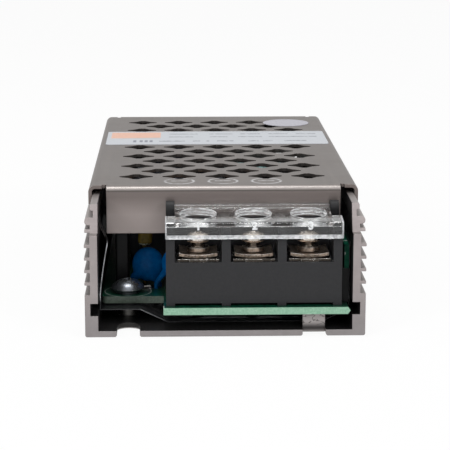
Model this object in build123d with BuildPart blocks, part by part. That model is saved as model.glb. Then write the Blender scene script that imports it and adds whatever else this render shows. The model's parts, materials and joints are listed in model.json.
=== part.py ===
from build123d import *
from math import pi, sin, cos, radians
import os

# Slim enclosed LED power supply, in millimetres.
# X is the width, Y the length with the mains input end at -Y, Z is up from the flat bottom.

# Driving dimensions: overall
case_width = 62.0
case_height = 31.0
case_length = 140.0

# Case extrusion
floor_thickness = 1.35
wall_thickness = 2.9
fin_reach = 1.2
fin_thickness = 0.7
fin_count = 5
first_fin_gap = 2.2
last_fin_gap = 1.57
block_height = 9.55
board_groove_low = 4.8
board_groove_high = 7.6
rib_height = 1.6
neck_thickness = 1.0
neck_height = 1.45
lobe_height = 1.35
lobe_reach = 1.7
wall_below_cover = 1.2
bottom_corner_radius = 0.45
fin_tip_radius = 0.15
step_below_rib = 1.7
step_depth = 2.7
lean_depth = 5.0

# Fixing slot and bent tongue at each end of the floor
slot_width = 5.1
slot_depth = 7.1
slot_inset = 9.5
tongue_inset = 11.3
edge_roll = 0.3
tongue_width = 5.0
tongue_side_gap = 0.1
tongue_face = 1.8
tongue_inner_radius = 0.3

# Top cover
sheet = 0.8
cover_side_gap = 0.1
cover_setback = 15.0
cover_bend_radius = 1.5
cover_hook_clearance = 0.1
cover_hook_reach = 0.8
lip_side_inset = 4.1
lip_height = 10.8
relief_width = 1.0

# Star vents
star_width = 7.8
star_length = 6.6
star_tip = 1.1
star_hollow = 0.86
star_pitch = 10.04
star_end_margin = 12.58
star_rows = 13
star_columns = 5
blank_rows = (7, 8, 9)

# Label and sticker on the cover
label_thickness = 0.12
label_side_inset = 1.65
sticker_diameter = 12.8
sticker_side_inset = 10.6
sticker_far_inset = 29.4

# Circuit board
board_thickness = 1.6
board_height = 4.85
board_side_gap = 0.4
board_front = 11.0
board_rear = 11.0
board_corner_radius = 1.2
tab_half = 20.1
tab_front = 0.2
score_depth = 0.55

# Board fixing
standoff_diameter = 5.0
screw_core_diameter = 2.9
screw_head_diameter = 7.3
screw_head_height = 3.1
front_screw_inset = 6.1
front_screw_depth = 15.7
rear_screw_inset = 6.6
rear_screw_depth = 23.8
recess_width = 0.9
recess_length = 3.4
recess_depth = 1.1

# Insulation film
film_thickness = 0.2
film_wall_gap = 0.05
film_below_cover = 4.2
film_left_shelf = 8.95
film_left_slope = 6.2
film_right_slope = 5.95
film_end = 7.0
film_hole_gap = 0.6

# Terminal blocks
block_face = 1.8
block_back = 14.7
block_wall = 1.95
block_back_wall = 1.6
block_body_gap = 0.6
cell_floor = 16.35
barrier_top = 24.3
block_inset = 21.7
input_poles = 3
input_pitch = 12.35
output_poles = 4
output_pitch = 9.5
screw_depth = 7.8

# Hinge of the clear covers
hinge_depth = 13.0
hinge_height = 26.35
ear_radius = 1.7
hinge_pin_diameter = 2.0
hinge_pin_length = 1.1
hinge_clearance = 0.05
hinge_end_clearance = 0.15

# Clear covers
clear_thickness = 1.0
clear_front = 0.5
clear_bottom = 21.9
clear_front_height = 25.5
clear_rear_height = 26.7
clear_overhang = 0.1
clear_notch_front = 5.8
clear_bend_radius = 0.9
knuckle_radius = 1.0
driver_hole_share = 0.8
cheek_thickness = 0.9
cheek_bottom = 24.5
cheek_front = 2.2

# Terminal hardware
plate_thickness = 0.6
plate_side_gap = 0.6
plate_front_gap = 0.7
plate_tab_width = 3.8
plate_tab_reach = 0.5
leg_width = 1.6
leg_thickness = 0.8
leg_depth = 11.4
leg_below_board = 1.2
leg_clearance = 0.1
washer_side_gap = 0.95
washer_thickness = 0.7
washer_dish = 0.45
washer_bore_clearance = 0.25
lock_ring_diameter = 5.0
lock_ring_thickness = 0.9
lock_ring_play = 0.03
terminal_thread = 3.4
terminal_head_diameter = 5.8
terminal_head_height = 2.0
terminal_head_seat = 20.35
terminal_screw_end = 11.0

# Inner parts
lead_diameter = 0.8
part_gap = 0.2
package_width = 10.0
transistor_rear_inset = 52.0
x_capacitor_headroom = 2.15
wound_headroom = 2.35
can_headroom = 3.75

# Values worked out from the driving dimensions
half_width = case_width / 2
inner_half = half_width - wall_thickness
board_top = board_height + board_thickness
board_half = inner_half - board_side_gap
film_inner = inner_half - film_wall_gap - film_thickness
cover_top = case_height
cover_under = cover_top - sheet
wall_top = cover_under - wall_below_cover
lobe_low = wall_top - lobe_height
rib_high = lobe_low - neck_height
rib_low = rib_high - rib_height
step_height = rib_low - step_below_rib
first_fin_height = block_height + first_fin_gap
fin_pitch = (rib_low - last_fin_gap - first_fin_height) / (fin_count - 1)
lobe_half = inner_half + lobe_reach
hook_top = lobe_low - cover_hook_clearance
cover_half = lobe_half + cover_side_gap + sheet
cover_width = 2 * cover_half
lip_half = cover_half - lip_side_inset
lip_bottom = cover_top - lip_height
slot_x = slot_inset - half_width
tongue_x = half_width - tongue_inset
star_row_step = (case_length - 2 * cover_setback - 2 * star_end_margin) / (star_rows - 1)
label_width = cover_width - 2 * label_side_inset
label_length = len(blank_rows) * star_row_step + 0.09
label_depth = case_length / 2 + 2 * star_row_step + 0.2
block_centre = inner_half - block_inset
tab_left = block_centre - tab_half
tab_right = board_half
board_screw_places = (
    (front_screw_inset - inner_half, front_screw_depth),
    (inner_half - rear_screw_inset, case_length - rear_screw_depth),
)
film_top = cover_under - film_below_cover
plate_top = cell_floor + plate_thickness
washer_top = plate_top + washer_thickness
block_base = board_top + block_body_gap


def plan(height, end=-1):
    """Plane seen from above at one end: x across, y inwards from the end face."""
    return Plane(origin=(0, end * case_length / 2, height), x_dir=(-end, 0, 0), z_dir=(0, 0, 1))


def face(depth, end=-1):
    """Plane facing out of one end at a depth behind the end face: x across, y up."""
    return Plane(
        origin=(0, end * (case_length / 2 - depth), 0), x_dir=(-end, 0, 0), z_dir=(0, end, 0)
    )


def side(across, end=-1):
    """Plane facing across: x is the depth behind the end face, y is up."""
    return Plane(
        origin=(-end * across, end * case_length / 2, 0), x_dir=(0, -end, 0), z_dir=(-end, 0, 0)
    )


def finish(part, name):
    """Names a finished piece and writes it out."""
    part.label = name
    export_step(part, f"parts/{name}.step")


os.makedirs("parts", exist_ok=True)


# The finned U extrusion that is the case
with BuildPart() as extruded_case:
    with BuildSketch(face(0)):
        Rectangle(case_width, floor_thickness, align=(Align.CENTER, Align.MIN))
        for sign in (-1, 1):
            outward = Align.MIN if sign > 0 else Align.MAX
            with Locations((sign * inner_half, 0)):
                Rectangle(wall_thickness, block_height, align=(outward, Align.MIN))
                Rectangle(wall_thickness - fin_reach, rib_high, align=(outward, Align.MIN))
                Rectangle(neck_thickness, wall_top, align=(outward, Align.MIN))
            with Locations((sign * inner_half, rib_low)):
                Rectangle(wall_thickness, rib_high - rib_low, align=(outward, Align.MIN))
            with Locations((sign * inner_half, lobe_low)):
                Rectangle(lobe_reach, wall_top - lobe_low, align=(outward, Align.MIN))
            for fin in range(fin_count):
                with Locations((sign * inner_half, first_fin_height + fin * fin_pitch)):
                    Rectangle(wall_thickness, fin_thickness, align=(outward, Align.MIN))
            with Locations((sign * inner_half, board_groove_low)):
                Rectangle(
                    wall_thickness - fin_reach,
                    board_groove_high - board_groove_low,
                    align=(outward, Align.MIN),
                    mode=Mode.SUBTRACT,
                )
        tips = vertices().filter_by(lambda v: abs(v.X) > half_width - 0.01)
        fin_tips = tips.filter_by(lambda v: block_height + 0.1 < v.Y < rib_low - 0.1)
        fillet(fin_tips, fin_tip_radius)
        rib_tips = vertices().filter_by(
            lambda v: abs(v.X) > half_width - 0.01 and v.Y > rib_low - 0.01
        )
        fillet(rib_tips, 0.45 * (rib_high - rib_low))
        bottom_tips = vertices().filter_by(lambda v: abs(v.X) > half_width - 0.01 and v.Y < 0.01)
        fillet(bottom_tips, bottom_corner_radius)
        lobe_tips = vertices().filter_by(
            lambda v: abs(v.X) > lobe_half - 0.01 and abs(v.X) < lobe_half + 0.01 and v.Y > rib_high
        )
        fillet(lobe_tips, 0.3 * (wall_top - lobe_low))
    extrude(amount=-case_length)
    for end in (-1, 1):
        # Stepped and leaning wall ends
        with BuildSketch(side(0, end)):
            with BuildLine():
                Polyline(
                    (-1, step_height),
                    (step_depth, step_height),
                    (lean_depth, wall_top + 1),
                    (-1, wall_top + 1),
                    close=True,
                )
            make_face()
        extrude(amount=case_width, both=True, mode=Mode.SUBTRACT)
        # Round-ended fixing slot, open at the end face
        with BuildSketch(plan(0, end)):
            with Locations((slot_x, slot_depth - slot_width / 2)):
                Circle(slot_width / 2)
                Rectangle(slot_width, slot_depth, align=(Align.CENTER, Align.MAX))
        extrude(amount=floor_thickness, mode=Mode.SUBTRACT)
        # Notch left by the tongue that is bent up to carry the board
        tongue_root = tongue_face + floor_thickness + tongue_inner_radius
        with BuildSketch(plan(0, end)):
            with Locations((tongue_x, 0)):
                Rectangle(
                    tongue_width + 2 * tongue_side_gap, 2 * tongue_root, align=(Align.CENTER, Align.CENTER)
                )
        extrude(amount=floor_thickness, mode=Mode.SUBTRACT)
        with BuildSketch(side(tongue_x - tongue_width / 2, end)):
            with BuildLine():
                Polyline(
                    (tongue_face, board_height),
                    (tongue_face, 0),
                    (tongue_root, 0),
                    (tongue_root, floor_thickness),
                    (tongue_face + floor_thickness, floor_thickness),
                    (tongue_face + floor_thickness, board_height),
                    close=True,
                )
            make_face()
            outer_corner = vertices().group_by(Axis.Y)[0].sort_by(Axis.X)[0]
            fillet(outer_corner, floor_thickness + tongue_inner_radius - 0.01)
            inner_corner = vertices().filter_by(
                lambda v: abs(v.X - tongue_face - floor_thickness) < 0.01
                and abs(v.Y - floor_thickness) < 0.01
            )
            fillet(inner_corner, tongue_inner_radius - 0.01)
        extrude(amount=tongue_width)
    # Rolled lower edges of the slot and the notch
    openings = edges().filter_by(
        lambda e: abs(e.center().Z) < 0.01
        and (
            abs(abs(e.center().X) - abs(slot_x)) < slot_width / 2 + 0.01
            or abs(abs(e.center().X) - tongue_x) < tongue_width / 2 + tongue_side_gap + 0.01
        )
        and case_length / 2 - slot_depth - 0.1 < abs(e.center().Y) < case_length / 2 - 0.1
        and e.length < 20
    )
    notch_sides = openings.filter_by(
        lambda e: e.geom_type == GeomType.CIRCLE
        or (abs(e.tangent_at(0).X) < 0.1 and abs(abs(e.center().X) - tongue_x) > tongue_width / 2 + 0.01)
    )
    chamfer(notch_sides, edge_roll)
finish(extruded_case.part, "extruded_case")


# The folded sheet cover, with its hooked flanges, end lips and star vents
with BuildPart() as top_cover:
    with BuildSketch(face(cover_setback + cover_bend_radius)):
        Rectangle(cover_width, cover_top, align=(Align.CENTER, Align.MIN))
        fillet(vertices().group_by(Axis.Y)[-1], cover_bend_radius)
        with BuildSketch(mode=Mode.PRIVATE) as cover_inside:
            Rectangle(cover_width - 2 * sheet, cover_under, align=(Align.CENTER, Align.MIN))
            fillet(vertices().group_by(Axis.Y)[-1], cover_bend_radius - sheet)
        add(cover_inside.sketch, mode=Mode.SUBTRACT)
        Rectangle(cover_width, hook_top - sheet, align=(Align.CENTER, Align.MIN), mode=Mode.SUBTRACT)
        for sign in (-1, 1):
            inward = Align.MAX if sign > 0 else Align.MIN
            with Locations((sign * cover_half, hook_top)):
                Rectangle(sheet + cover_hook_reach, sheet, align=(inward, Align.MAX))
    extrude(amount=-(case_length - 2 * cover_setback - 2 * cover_bend_radius))
    for end in (-1, 1):
        with BuildSketch(side(-lip_half, end)):
            with BuildLine():
                Polyline(
                    (cover_setback, lip_bottom),
                    (cover_setback, cover_top),
                    (cover_setback + 2 * cover_bend_radius, cover_top),
                    (cover_setback + 2 * cover_bend_radius, cover_under),
                    (cover_setback + sheet, cover_under),
                    (cover_setback + sheet, lip_bottom),
                    close=True,
                )
            make_face()
            outer_bend = vertices().group_by(Axis.Y)[-1].sort_by(Axis.X)[0]
            fillet(outer_bend, cover_bend_radius)
            inner_bend = vertices().group_by(Axis.Y)[-2].sort_by(Axis.X)[0]
            fillet(inner_bend, cover_bend_radius - sheet)
        extrude(amount=2 * lip_half)
        # Bend relief beside the lip
        with BuildSketch(plan(cover_under, end)):
            with Locations(
                *[(sign * (lip_half + relief_width / 2), cover_setback) for sign in (-1, 1)]
            ):
                Rectangle(relief_width, 2 * (cover_bend_radius + relief_width))
        extrude(amount=sheet, mode=Mode.SUBTRACT)
    # Staggered rows of blunt four-pointed stars, each side struck as two straights
    with BuildSketch(Plane.XY.offset(cover_under)):
        reach_x, reach_y, half_tip = star_width / 2, star_length / 2, star_tip / 2
        waist_x = star_hollow * (reach_x + half_tip) / 2
        waist_y = star_hollow * (reach_y + half_tip) / 2
        quarter = [(reach_x, half_tip), (waist_x, waist_y), (half_tip, reach_y)]
        left_top = [(-x, y) for x, y in reversed(quarter)]
        left_low = [(-x, -y) for x, y in quarter]
        right_low = [(x, -y) for x, y in reversed(quarter)]
        outline = quarter + left_top + left_low + right_low
        for row in range(star_rows):
            if row in blank_rows:
                continue
            count = star_columns - row % 2
            row_y = (row - (star_rows - 1) / 2) * star_row_step
            for column in range(count):
                with Locations(((column - (count - 1) / 2) * star_pitch, row_y)):
                    Polygon(*outline, align=None)
    extrude(amount=sheet, mode=Mode.SUBTRACT)
finish(top_cover.part, "top_cover")

with BuildPart() as rating_label:
    with BuildSketch(plan(cover_top)):
        with Locations((0, label_depth)):
            RectangleRounded(label_width, label_length, 0.8)
    extrude(amount=label_thickness)
finish(rating_label.part, "rating_label")

with BuildPart() as inspection_sticker:
    with BuildSketch(plan(cover_top)):
        with Locations((cover_half - sticker_side_inset, case_length - sticker_far_inset)):
            Circle(sticker_diameter / 2)
    extrude(amount=label_thickness)
finish(inspection_sticker.part, "inspection_sticker")


def pole_places(poles, pitch):
    """Middle of each cell across a terminal block."""
    return [block_centre + (pole - (poles - 1) / 2) * pitch for pole in range(poles)]


# The board, with a tab under each terminal block and through holes for their legs
with BuildPart() as circuit_board:
    with BuildSketch(Plane.XY.offset(board_height)):
        with Locations((0, (board_front - board_rear) / 2)):
            RectangleRounded(
                2 * board_half, case_length - board_front - board_rear, board_corner_radius
            )
    extrude(amount=board_thickness)
    for end, poles, pitch in ((-1, input_poles, input_pitch), (1, output_poles, output_pitch)):
        with BuildSketch(face(tab_front, end)):
            middle = board_height + board_thickness / 2
            with BuildLine():
                Polyline(
                    (tab_left, board_height),
                    (tab_right - score_depth, board_height),
                    (tab_right, middle),
                    (tab_right - score_depth, board_top),
                    (tab_left, board_top),
                    close=True,
                )
            make_face()
        extrude(amount=-(board_front + board_corner_radius))
        with BuildSketch(plan(board_height, end)):
            with Locations(*[(x, leg_depth) for x in pole_places(poles, pitch)]):
                Circle(leg_width / 2 + 2 * leg_clearance)
        extrude(amount=board_thickness, mode=Mode.SUBTRACT)
    with BuildSketch(plan(board_height)):
        with Locations(*board_screw_places):
            Circle(screw_core_diameter / 2 + leg_clearance)
    extrude(amount=board_thickness, mode=Mode.SUBTRACT)
finish(circuit_board.part, "circuit_board")

with BuildPart() as board_standoffs:
    with BuildSketch(plan(floor_thickness)):
        with Locations(*board_screw_places):
            Circle(standoff_diameter / 2)
            Circle(screw_core_diameter / 2, mode=Mode.SUBTRACT)
    extrude(amount=board_height - floor_thickness)
finish(board_standoffs.part, "board_standoffs")

# Domed board screws with a cross recess
with BuildPart() as board_screws:
    for screw_x, screw_y in board_screw_places:
        axis_plane = Plane(
            origin=(screw_x, screw_y - case_length / 2, board_top), x_dir=(1, 0, 0), z_dir=(0, -1, 0)
        )
        with BuildSketch(axis_plane):
            with BuildLine():
                head_edge = screw_head_diameter / 2
                Polyline(
                    (0, screw_head_height),
                    (0, floor_thickness - board_top + part_gap),
                    (screw_core_diameter / 2, floor_thickness - board_top + part_gap),
                    (screw_core_diameter / 2, 0),
                    (head_edge, 0),
                    (head_edge, 0.2 * screw_head_height),
                    (0.78 * head_edge, 0.72 * screw_head_height),
                    (0.4 * head_edge, screw_head_height),
                    close=True,
                )
            make_face()
        revolve(axis=Axis((screw_x, screw_y - case_length / 2, 0), (0, 0, 1)))
    with BuildSketch(plan(board_top + screw_head_height)):
        with Locations(*board_screw_places):
            Rectangle(recess_length, recess_width)
            Rectangle(recess_width, recess_length)
    extrude(amount=-recess_depth, mode=Mode.SUBTRACT)
finish(board_screws.part, "board_screws")

# Film folded up both walls, under the board's left edge and along the floor
with BuildPart() as insulation_film:
    lay = floor_thickness + film_wall_gap + film_thickness / 2
    wall_line = film_inner + film_thickness / 2
    under_board = board_height - 2 * film_thickness
    with BuildSketch(face(film_end)):
        with BuildLine() as film_line:
            Polyline(
                (-wall_line, film_top),
                (-wall_line, under_board),
                (film_left_shelf - wall_line, under_board),
                (film_left_shelf + film_left_slope - wall_line, lay),
                (wall_line - film_right_slope, lay),
                (wall_line, under_board - 0.3),
                (wall_line, film_top),
            )
        trace(line_width=film_thickness)
    extrude(amount=-(case_length - 2 * film_end))
    with BuildSketch(plan(0)):
        with Locations(*board_screw_places):
            Circle(standoff_diameter / 2 + film_hole_gap)
        for end, poles, pitch in ((-1, input_poles, input_pitch), (1, output_poles, output_pitch)):
            row_depth = leg_depth if end < 0 else case_length - leg_depth
            with Locations(*[(-end * x, row_depth) for x in pole_places(poles, pitch)]):
                Circle(leg_width / 2 + film_hole_gap)
    extrude(amount=board_height, mode=Mode.SUBTRACT)
finish(insulation_film.part, "insulation_film")


def terminal_block(end, poles, pitch):
    """Barrier block: body, end walls with hinge ears, barriers and a back wall."""
    width = poles * pitch + block_wall
    left = block_centre - width / 2
    depth = block_back - block_face
    with BuildPart() as block:
        with BuildSketch(plan(block_base, end)):
            with Locations((block_centre, block_face)):
                Rectangle(width, depth, align=(Align.CENTER, Align.MIN))
        extrude(amount=cell_floor - block_base)
        with BuildSketch(plan(cell_floor, end)):
            with Locations((block_centre, block_back)):
                Rectangle(width, block_back_wall, align=(Align.CENTER, Align.MAX))
        extrude(amount=barrier_top - part_gap - cell_floor)
        with BuildSketch(plan(board_top, end)):
            with Locations(*[(left + pole * pitch, block_face) for pole in range(poles + 1)]):
                Rectangle(block_wall, depth, align=(Align.MIN, Align.MIN))
        extrude(amount=barrier_top - board_top)
        for wall_x, inner_x, inwards in (
            (left, left + block_wall, 1),
            (left + poles * pitch, left + poles * pitch, -1),
        ):
            with BuildSketch(side(wall_x, end)):
                with Locations((hinge_depth, hinge_height)):
                    Circle(ear_radius)
                    Rectangle(
                        2 * ear_radius, hinge_height - barrier_top + 1, align=(Align.CENTER, Align.MAX)
                    )
            extrude(amount=block_wall)
            with BuildSketch(side(inner_x, end)):
                with Locations((hinge_depth, hinge_height)):
                    Circle(hinge_pin_diameter / 2 + hinge_clearance)
            extrude(
                amount=-inwards * (hinge_pin_length + hinge_end_clearance), mode=Mode.SUBTRACT
            )
        with BuildSketch(plan(block_base, end)):
            with Locations(*[(x, leg_depth) for x in pole_places(poles, pitch)]):
                Rectangle(leg_width, leg_thickness)
        extrude(amount=cell_floor - block_base, mode=Mode.SUBTRACT)
        with BuildSketch(plan(cell_floor, end)):
            with Locations(*[(x, screw_depth) for x in pole_places(poles, pitch)]):
                Circle(terminal_thread / 2 + 2 * leg_clearance)
        extrude(amount=terminal_screw_end - part_gap - cell_floor, mode=Mode.SUBTRACT)
    return block.part


def clear_cover(end, poles, pitch):
    """Clear cover: sloping top with driver holes, front skirt, cheeks and hinge pins."""
    width = poles * pitch + block_wall
    left = block_centre - width / 2 - clear_overhang
    ear_inner = block_wall + clear_overhang + hinge_end_clearance
    with BuildPart() as clear:
        with BuildSketch(side(left, end)):
            with BuildLine():
                Polyline(
                    (clear_front, clear_bottom),
                    (clear_front, clear_front_height),
                    (hinge_depth, clear_rear_height),
                    (hinge_depth, clear_rear_height - clear_thickness),
                    (clear_front + clear_thickness, clear_front_height - clear_thickness),
                    (clear_front + clear_thickness, clear_bottom),
                    close=True,
                )
            make_face()
            bend = vertices().filter_by(
                lambda v: abs(v.X - clear_front) < 0.01 and v.Y > clear_bottom + 1
            )
            fillet(bend, clear_bend_radius)
        extrude(amount=width + 2 * clear_overhang)
        with BuildSketch(side(left + ear_inner, end)):
            with Locations((hinge_depth, hinge_height)):
                Circle(knuckle_radius)
        extrude(amount=width + 2 * clear_overhang - 2 * ear_inner)
        # Notches for the ears
        with BuildSketch(plan(clear_bottom, end)):
            with Locations(
                (left, clear_notch_front),
                (left + width + 2 * clear_overhang - ear_inner, clear_notch_front),
            ):
                Rectangle(ear_inner, hinge_depth, align=(Align.MIN, Align.MIN))
        extrude(amount=case_height, mode=Mode.SUBTRACT)
        with BuildSketch(plan(clear_bottom, end)):
            with Locations(*[(x, screw_depth) for x in pole_places(poles, pitch)]):
                Circle(driver_hole_share * (pitch - block_wall) / 2)
        extrude(amount=case_height, mode=Mode.SUBTRACT)
        # Cheeks just inside the end walls, with the hinge pins on their outer faces
        for cheek_x, pin_x, outwards in (
            (left + ear_inner, left + ear_inner, -1),
            (
                left + width + 2 * clear_overhang - ear_inner - cheek_thickness,
                left + width + 2 * clear_overhang - ear_inner,
                1,
            ),
        ):
            with BuildSketch(side(cheek_x, end)):
                with BuildLine():
                    Polyline(
                        (cheek_front, cheek_bottom),
                        (cheek_front, clear_front_height - clear_thickness / 2),
                        (hinge_depth, hinge_height),
                        (hinge_depth - knuckle_radius, hinge_height - knuckle_radius),
                        (hinge_depth - 2 * knuckle_radius, cheek_bottom),
                        close=True,
                    )
                make_face()
            extrude(amount=cheek_thickness)
            with BuildSketch(side(pin_x, end)):
                with Locations((hinge_depth, hinge_height)):
                    Circle(hinge_pin_diameter / 2)
            extrude(amount=outwards * (hinge_pin_length + hinge_end_clearance))
    return clear.part


def terminal_plates(end, poles, pitch):
    """Tapped plates on the cell floors, each with a front tongue and a solder leg."""
    plate_width = pitch - block_wall - 2 * plate_side_gap
    front = block_face + plate_front_gap
    back = block_back - block_back_wall
    places = pole_places(poles, pitch)
    with BuildPart() as plates:
        with BuildSketch(plan(cell_floor, end)):
            with Locations(*[(x, front) for x in places]):
                Rectangle(plate_width, back - front, align=(Align.CENTER, Align.MIN))
                Rectangle(plate_tab_width, 2 * plate_tab_reach)
            with Locations(*[(x, screw_depth) for x in places]):
                Circle(terminal_thread / 2, mode=Mode.SUBTRACT)
        extrude(amount=plate_thickness)
        with BuildSketch(plan(cell_floor, end)):
            with Locations(*[(x, leg_depth) for x in places]):
                Rectangle(leg_width, leg_thickness)
        extrude(amount=board_height - leg_below_board - cell_floor)
    return plates.part


def washer_size(pitch):
    """Half the side of a square washer in a cell of this pitch."""
    return (pitch - block_wall) / 2 - washer_side_gap


def dish_rise(pitch, across):
    """How far a dished washer has risen at a distance across from its middle."""
    half = washer_size(pitch)
    bend = (half**2 + washer_dish**2) / (2 * washer_dish)
    return bend - (bend**2 - across**2) ** 0.5


def clamp_washers(end, poles, pitch):
    """Square washers, dished so that their sides stand up from the plate."""
    washer_half = washer_size(pitch)
    with BuildPart() as washers:
        for x in pole_places(poles, pitch):
            with BuildSketch(face(screw_depth - washer_half, end)):
                with BuildLine():
                    ThreePointArc(
                        (x - washer_half, plate_top + washer_dish),
                        (x, plate_top),
                        (x + washer_half, plate_top + washer_dish),
                    )
                    Line(
                        (x + washer_half, plate_top + washer_dish),
                        (x + washer_half, washer_top + washer_dish),
                    )
                    ThreePointArc(
                        (x + washer_half, washer_top + washer_dish),
                        (x, washer_top),
                        (x - washer_half, washer_top + washer_dish),
                    )
                    Line(
                        (x - washer_half, washer_top + washer_dish),
                        (x - washer_half, plate_top + washer_dish),
                    )
                make_face()
            extrude(amount=-2 * washer_half)
        with BuildSketch(plan(plate_top, end)):
            with Locations(*[(x, screw_depth) for x in pole_places(poles, pitch)]):
                Circle(terminal_thread / 2 + washer_bore_clearance)
        extrude(amount=washer_thickness + washer_dish, mode=Mode.SUBTRACT)
    return washers.part


def lock_washers(end, poles, pitch):
    """Split rings, the gap turned to the back of the cell."""
    bore = terminal_thread / 2 + washer_bore_clearance
    ring_seat = washer_top + dish_rise(pitch, lock_ring_diameter / 2) + lock_ring_play
    with BuildPart() as rings:
        with BuildSketch(plan(ring_seat, end)):
            for x in pole_places(poles, pitch):
                with Locations((x, screw_depth)):
                    Circle(lock_ring_diameter / 2)
                    Circle(bore, mode=Mode.SUBTRACT)
                with Locations((x, screw_depth + (bore + lock_ring_diameter / 2) / 2)):
                    Rectangle(0.5, lock_ring_diameter / 2, mode=Mode.SUBTRACT)
        extrude(amount=lock_ring_thickness)
    return rings.part


def terminal_screws(end, poles, pitch):
    """Pan head screws, backed off above their washers, with a cross recess."""
    head_edge = terminal_head_diameter / 2
    head_top = terminal_head_seat + terminal_head_height
    with BuildPart() as screws:
        for x in pole_places(poles, pitch):
            with BuildSketch(face(screw_depth, end)):
                with BuildLine():
                    Polyline(
                        (x, head_top),
                        (x, terminal_screw_end),
                        (x + terminal_thread / 2, terminal_screw_end),
                        (x + terminal_thread / 2, terminal_head_seat),
                        (x + head_edge, terminal_head_seat),
                        (x + head_edge, head_top - 0.5 * terminal_head_height),
                        (x + 0.7 * head_edge, head_top),
                        close=True,
                    )
                make_face()
            axis_y = end * (case_length / 2 - screw_depth)
            revolve(axis=Axis((-end * x, axis_y, 0), (0, 0, 1)))
        with BuildSketch(plan(head_top, end)):
            with Locations(*[(x, screw_depth) for x in pole_places(poles, pitch)]):
                Rectangle(recess_length, recess_width)
                Rectangle(recess_width, recess_length)
        extrude(amount=-recess_depth, mode=Mode.SUBTRACT)
    return screws.part


for prefix, end, poles, pitch in (
    ("input", -1, input_poles, input_pitch),
    ("output", 1, output_poles, output_pitch),
):
    finish(terminal_block(end, poles, pitch), f"{prefix}_terminal_block")
    finish(clear_cover(end, poles, pitch), f"{prefix}_terminal_cover")
    finish(terminal_plates(end, poles, pitch), f"{prefix}_terminal_plates")
    finish(clamp_washers(end, poles, pitch), f"{prefix}_clamp_washers")
    finish(lock_washers(end, poles, pitch), f"{prefix}_lock_washers")
    finish(terminal_screws(end, poles, pitch), f"{prefix}_terminal_screws")


def disc_part(x, depth, diameter, thickness, centre_height, leg_pitch):
    """Dipped disc standing across the supply, its coated legs run to the board."""
    with BuildPart() as disc:
        with BuildSketch(face(depth - thickness / 2)):
            with Locations((x, centre_height)):
                Circle(diameter / 2)
        extrude(amount=-thickness)
        chamfer(edges().filter_by(GeomType.CIRCLE), 0.3 * thickness)
        for sign in (-1, 1):
            foot = x + sign * leg_pitch / 2 - 0.1 * leg_pitch
            shoulder = (x + sign * 0.28 * diameter, centre_height - 0.3 * diameter)
            ankle = (foot, board_top + 1.2)
            with BuildSketch(face(depth - lead_diameter / 2)):
                with BuildLine():
                    Polyline(shoulder, ankle, (foot, board_top))
                trace(line_width=lead_diameter)
            extrude(amount=-lead_diameter)
        split(bisect_by=Plane.XY.offset(board_top), keep=Keep.TOP)
    return disc.part


# Blue disc capacitors behind the board screw and the terminal block
finish(disc_part(10.7 - inner_half, 20.4, 7.6, 2.6, 11.6, 5.0), "disc_capacitor_left")
finish(disc_part(17.7 - inner_half, 18.2, 7.6, 2.6, 12.0, 5.0), "disc_capacitor_right")
finish(disc_part(inner_half - 11.6, 20.6, 12.0, 4.0, 14.2, 7.0), "surge_varistor")

# Thermistor disc standing along the supply, raised on its two leads
thermistor_radius, thermistor_thickness, thermistor_height = 3.5, 3.4, 18.5
thermistor_x = 9.9 - inner_half
with BuildPart() as inrush_thermistor:
    with BuildSketch(side(thermistor_x - thermistor_thickness / 2)):
        with Locations((25.4, thermistor_height)):
            Circle(thermistor_radius)
    extrude(amount=thermistor_thickness)
    chamfer(edges().filter_by(GeomType.CIRCLE), 0.25 * thermistor_thickness)
    with BuildSketch(plan(board_top)):
        with Locations((thermistor_x, 25.4 - 2.5), (thermistor_x, 25.4 + 2.5)):
            Rectangle(lead_diameter, lead_diameter)
    extrude(amount=thermistor_height - board_top)
finish(inrush_thermistor.part, "inrush_thermistor")


def boxed_part(x, depth, width, length, height, corner=0.5, lift=0.0):
    """Moulded box on the board, rounded at its upright and top edges."""
    with BuildPart() as box:
        with BuildSketch(plan(board_top + lift)):
            with Locations((x, depth)):
                RectangleRounded(width, length, corner)
        extrude(amount=height - lift)
        chamfer(faces().sort_by(Axis.Z)[-1].edges(), corner / 2)
        if lift:
            lead_x = 0.36 * width if width > length else 0
            lead_y = 0 if width > length else 0.36 * length
            with BuildSketch(plan(board_top)):
                with Locations((x - lead_x, depth - lead_y), (x + lead_x, depth + lead_y)):
                    Rectangle(lead_diameter, lead_diameter)
            extrude(amount=lift)
    return box.part


x_capacitor_height = cover_under - x_capacitor_headroom - board_top
finish(boxed_part(4.7 - inner_half, 28.2, 3.1, 11.2, 12.2, lift=0.6), "small_film_capacitor")
finish(boxed_part(19.4 - inner_half, 30.0, 8.6, 17.0, x_capacitor_height, lift=0.6), "x_capacitor")
finish(boxed_part(3.0, case_length - 40.0, 4.6, 6.4, 3.5, 0.3, lift=0.4), "optocoupler")

# Radial fuse, a short can on two leads
fuse_x = 29.3 - inner_half
with BuildPart() as input_fuse:
    with BuildSketch(plan(board_top + part_gap)):
        with Locations((fuse_x, 20.2)):
            Circle(4.0)
    extrude(amount=7.6)
    chamfer(faces().sort_by(Axis.Z)[-1].edges(), 0.4)
    with BuildSketch(plan(board_top)):
        with Locations((fuse_x - 2.5, 20.2), (fuse_x + 2.5, 20.2)):
            Circle(lead_diameter / 2)
    extrude(amount=part_gap)
finish(input_fuse.part, "input_fuse")

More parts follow.
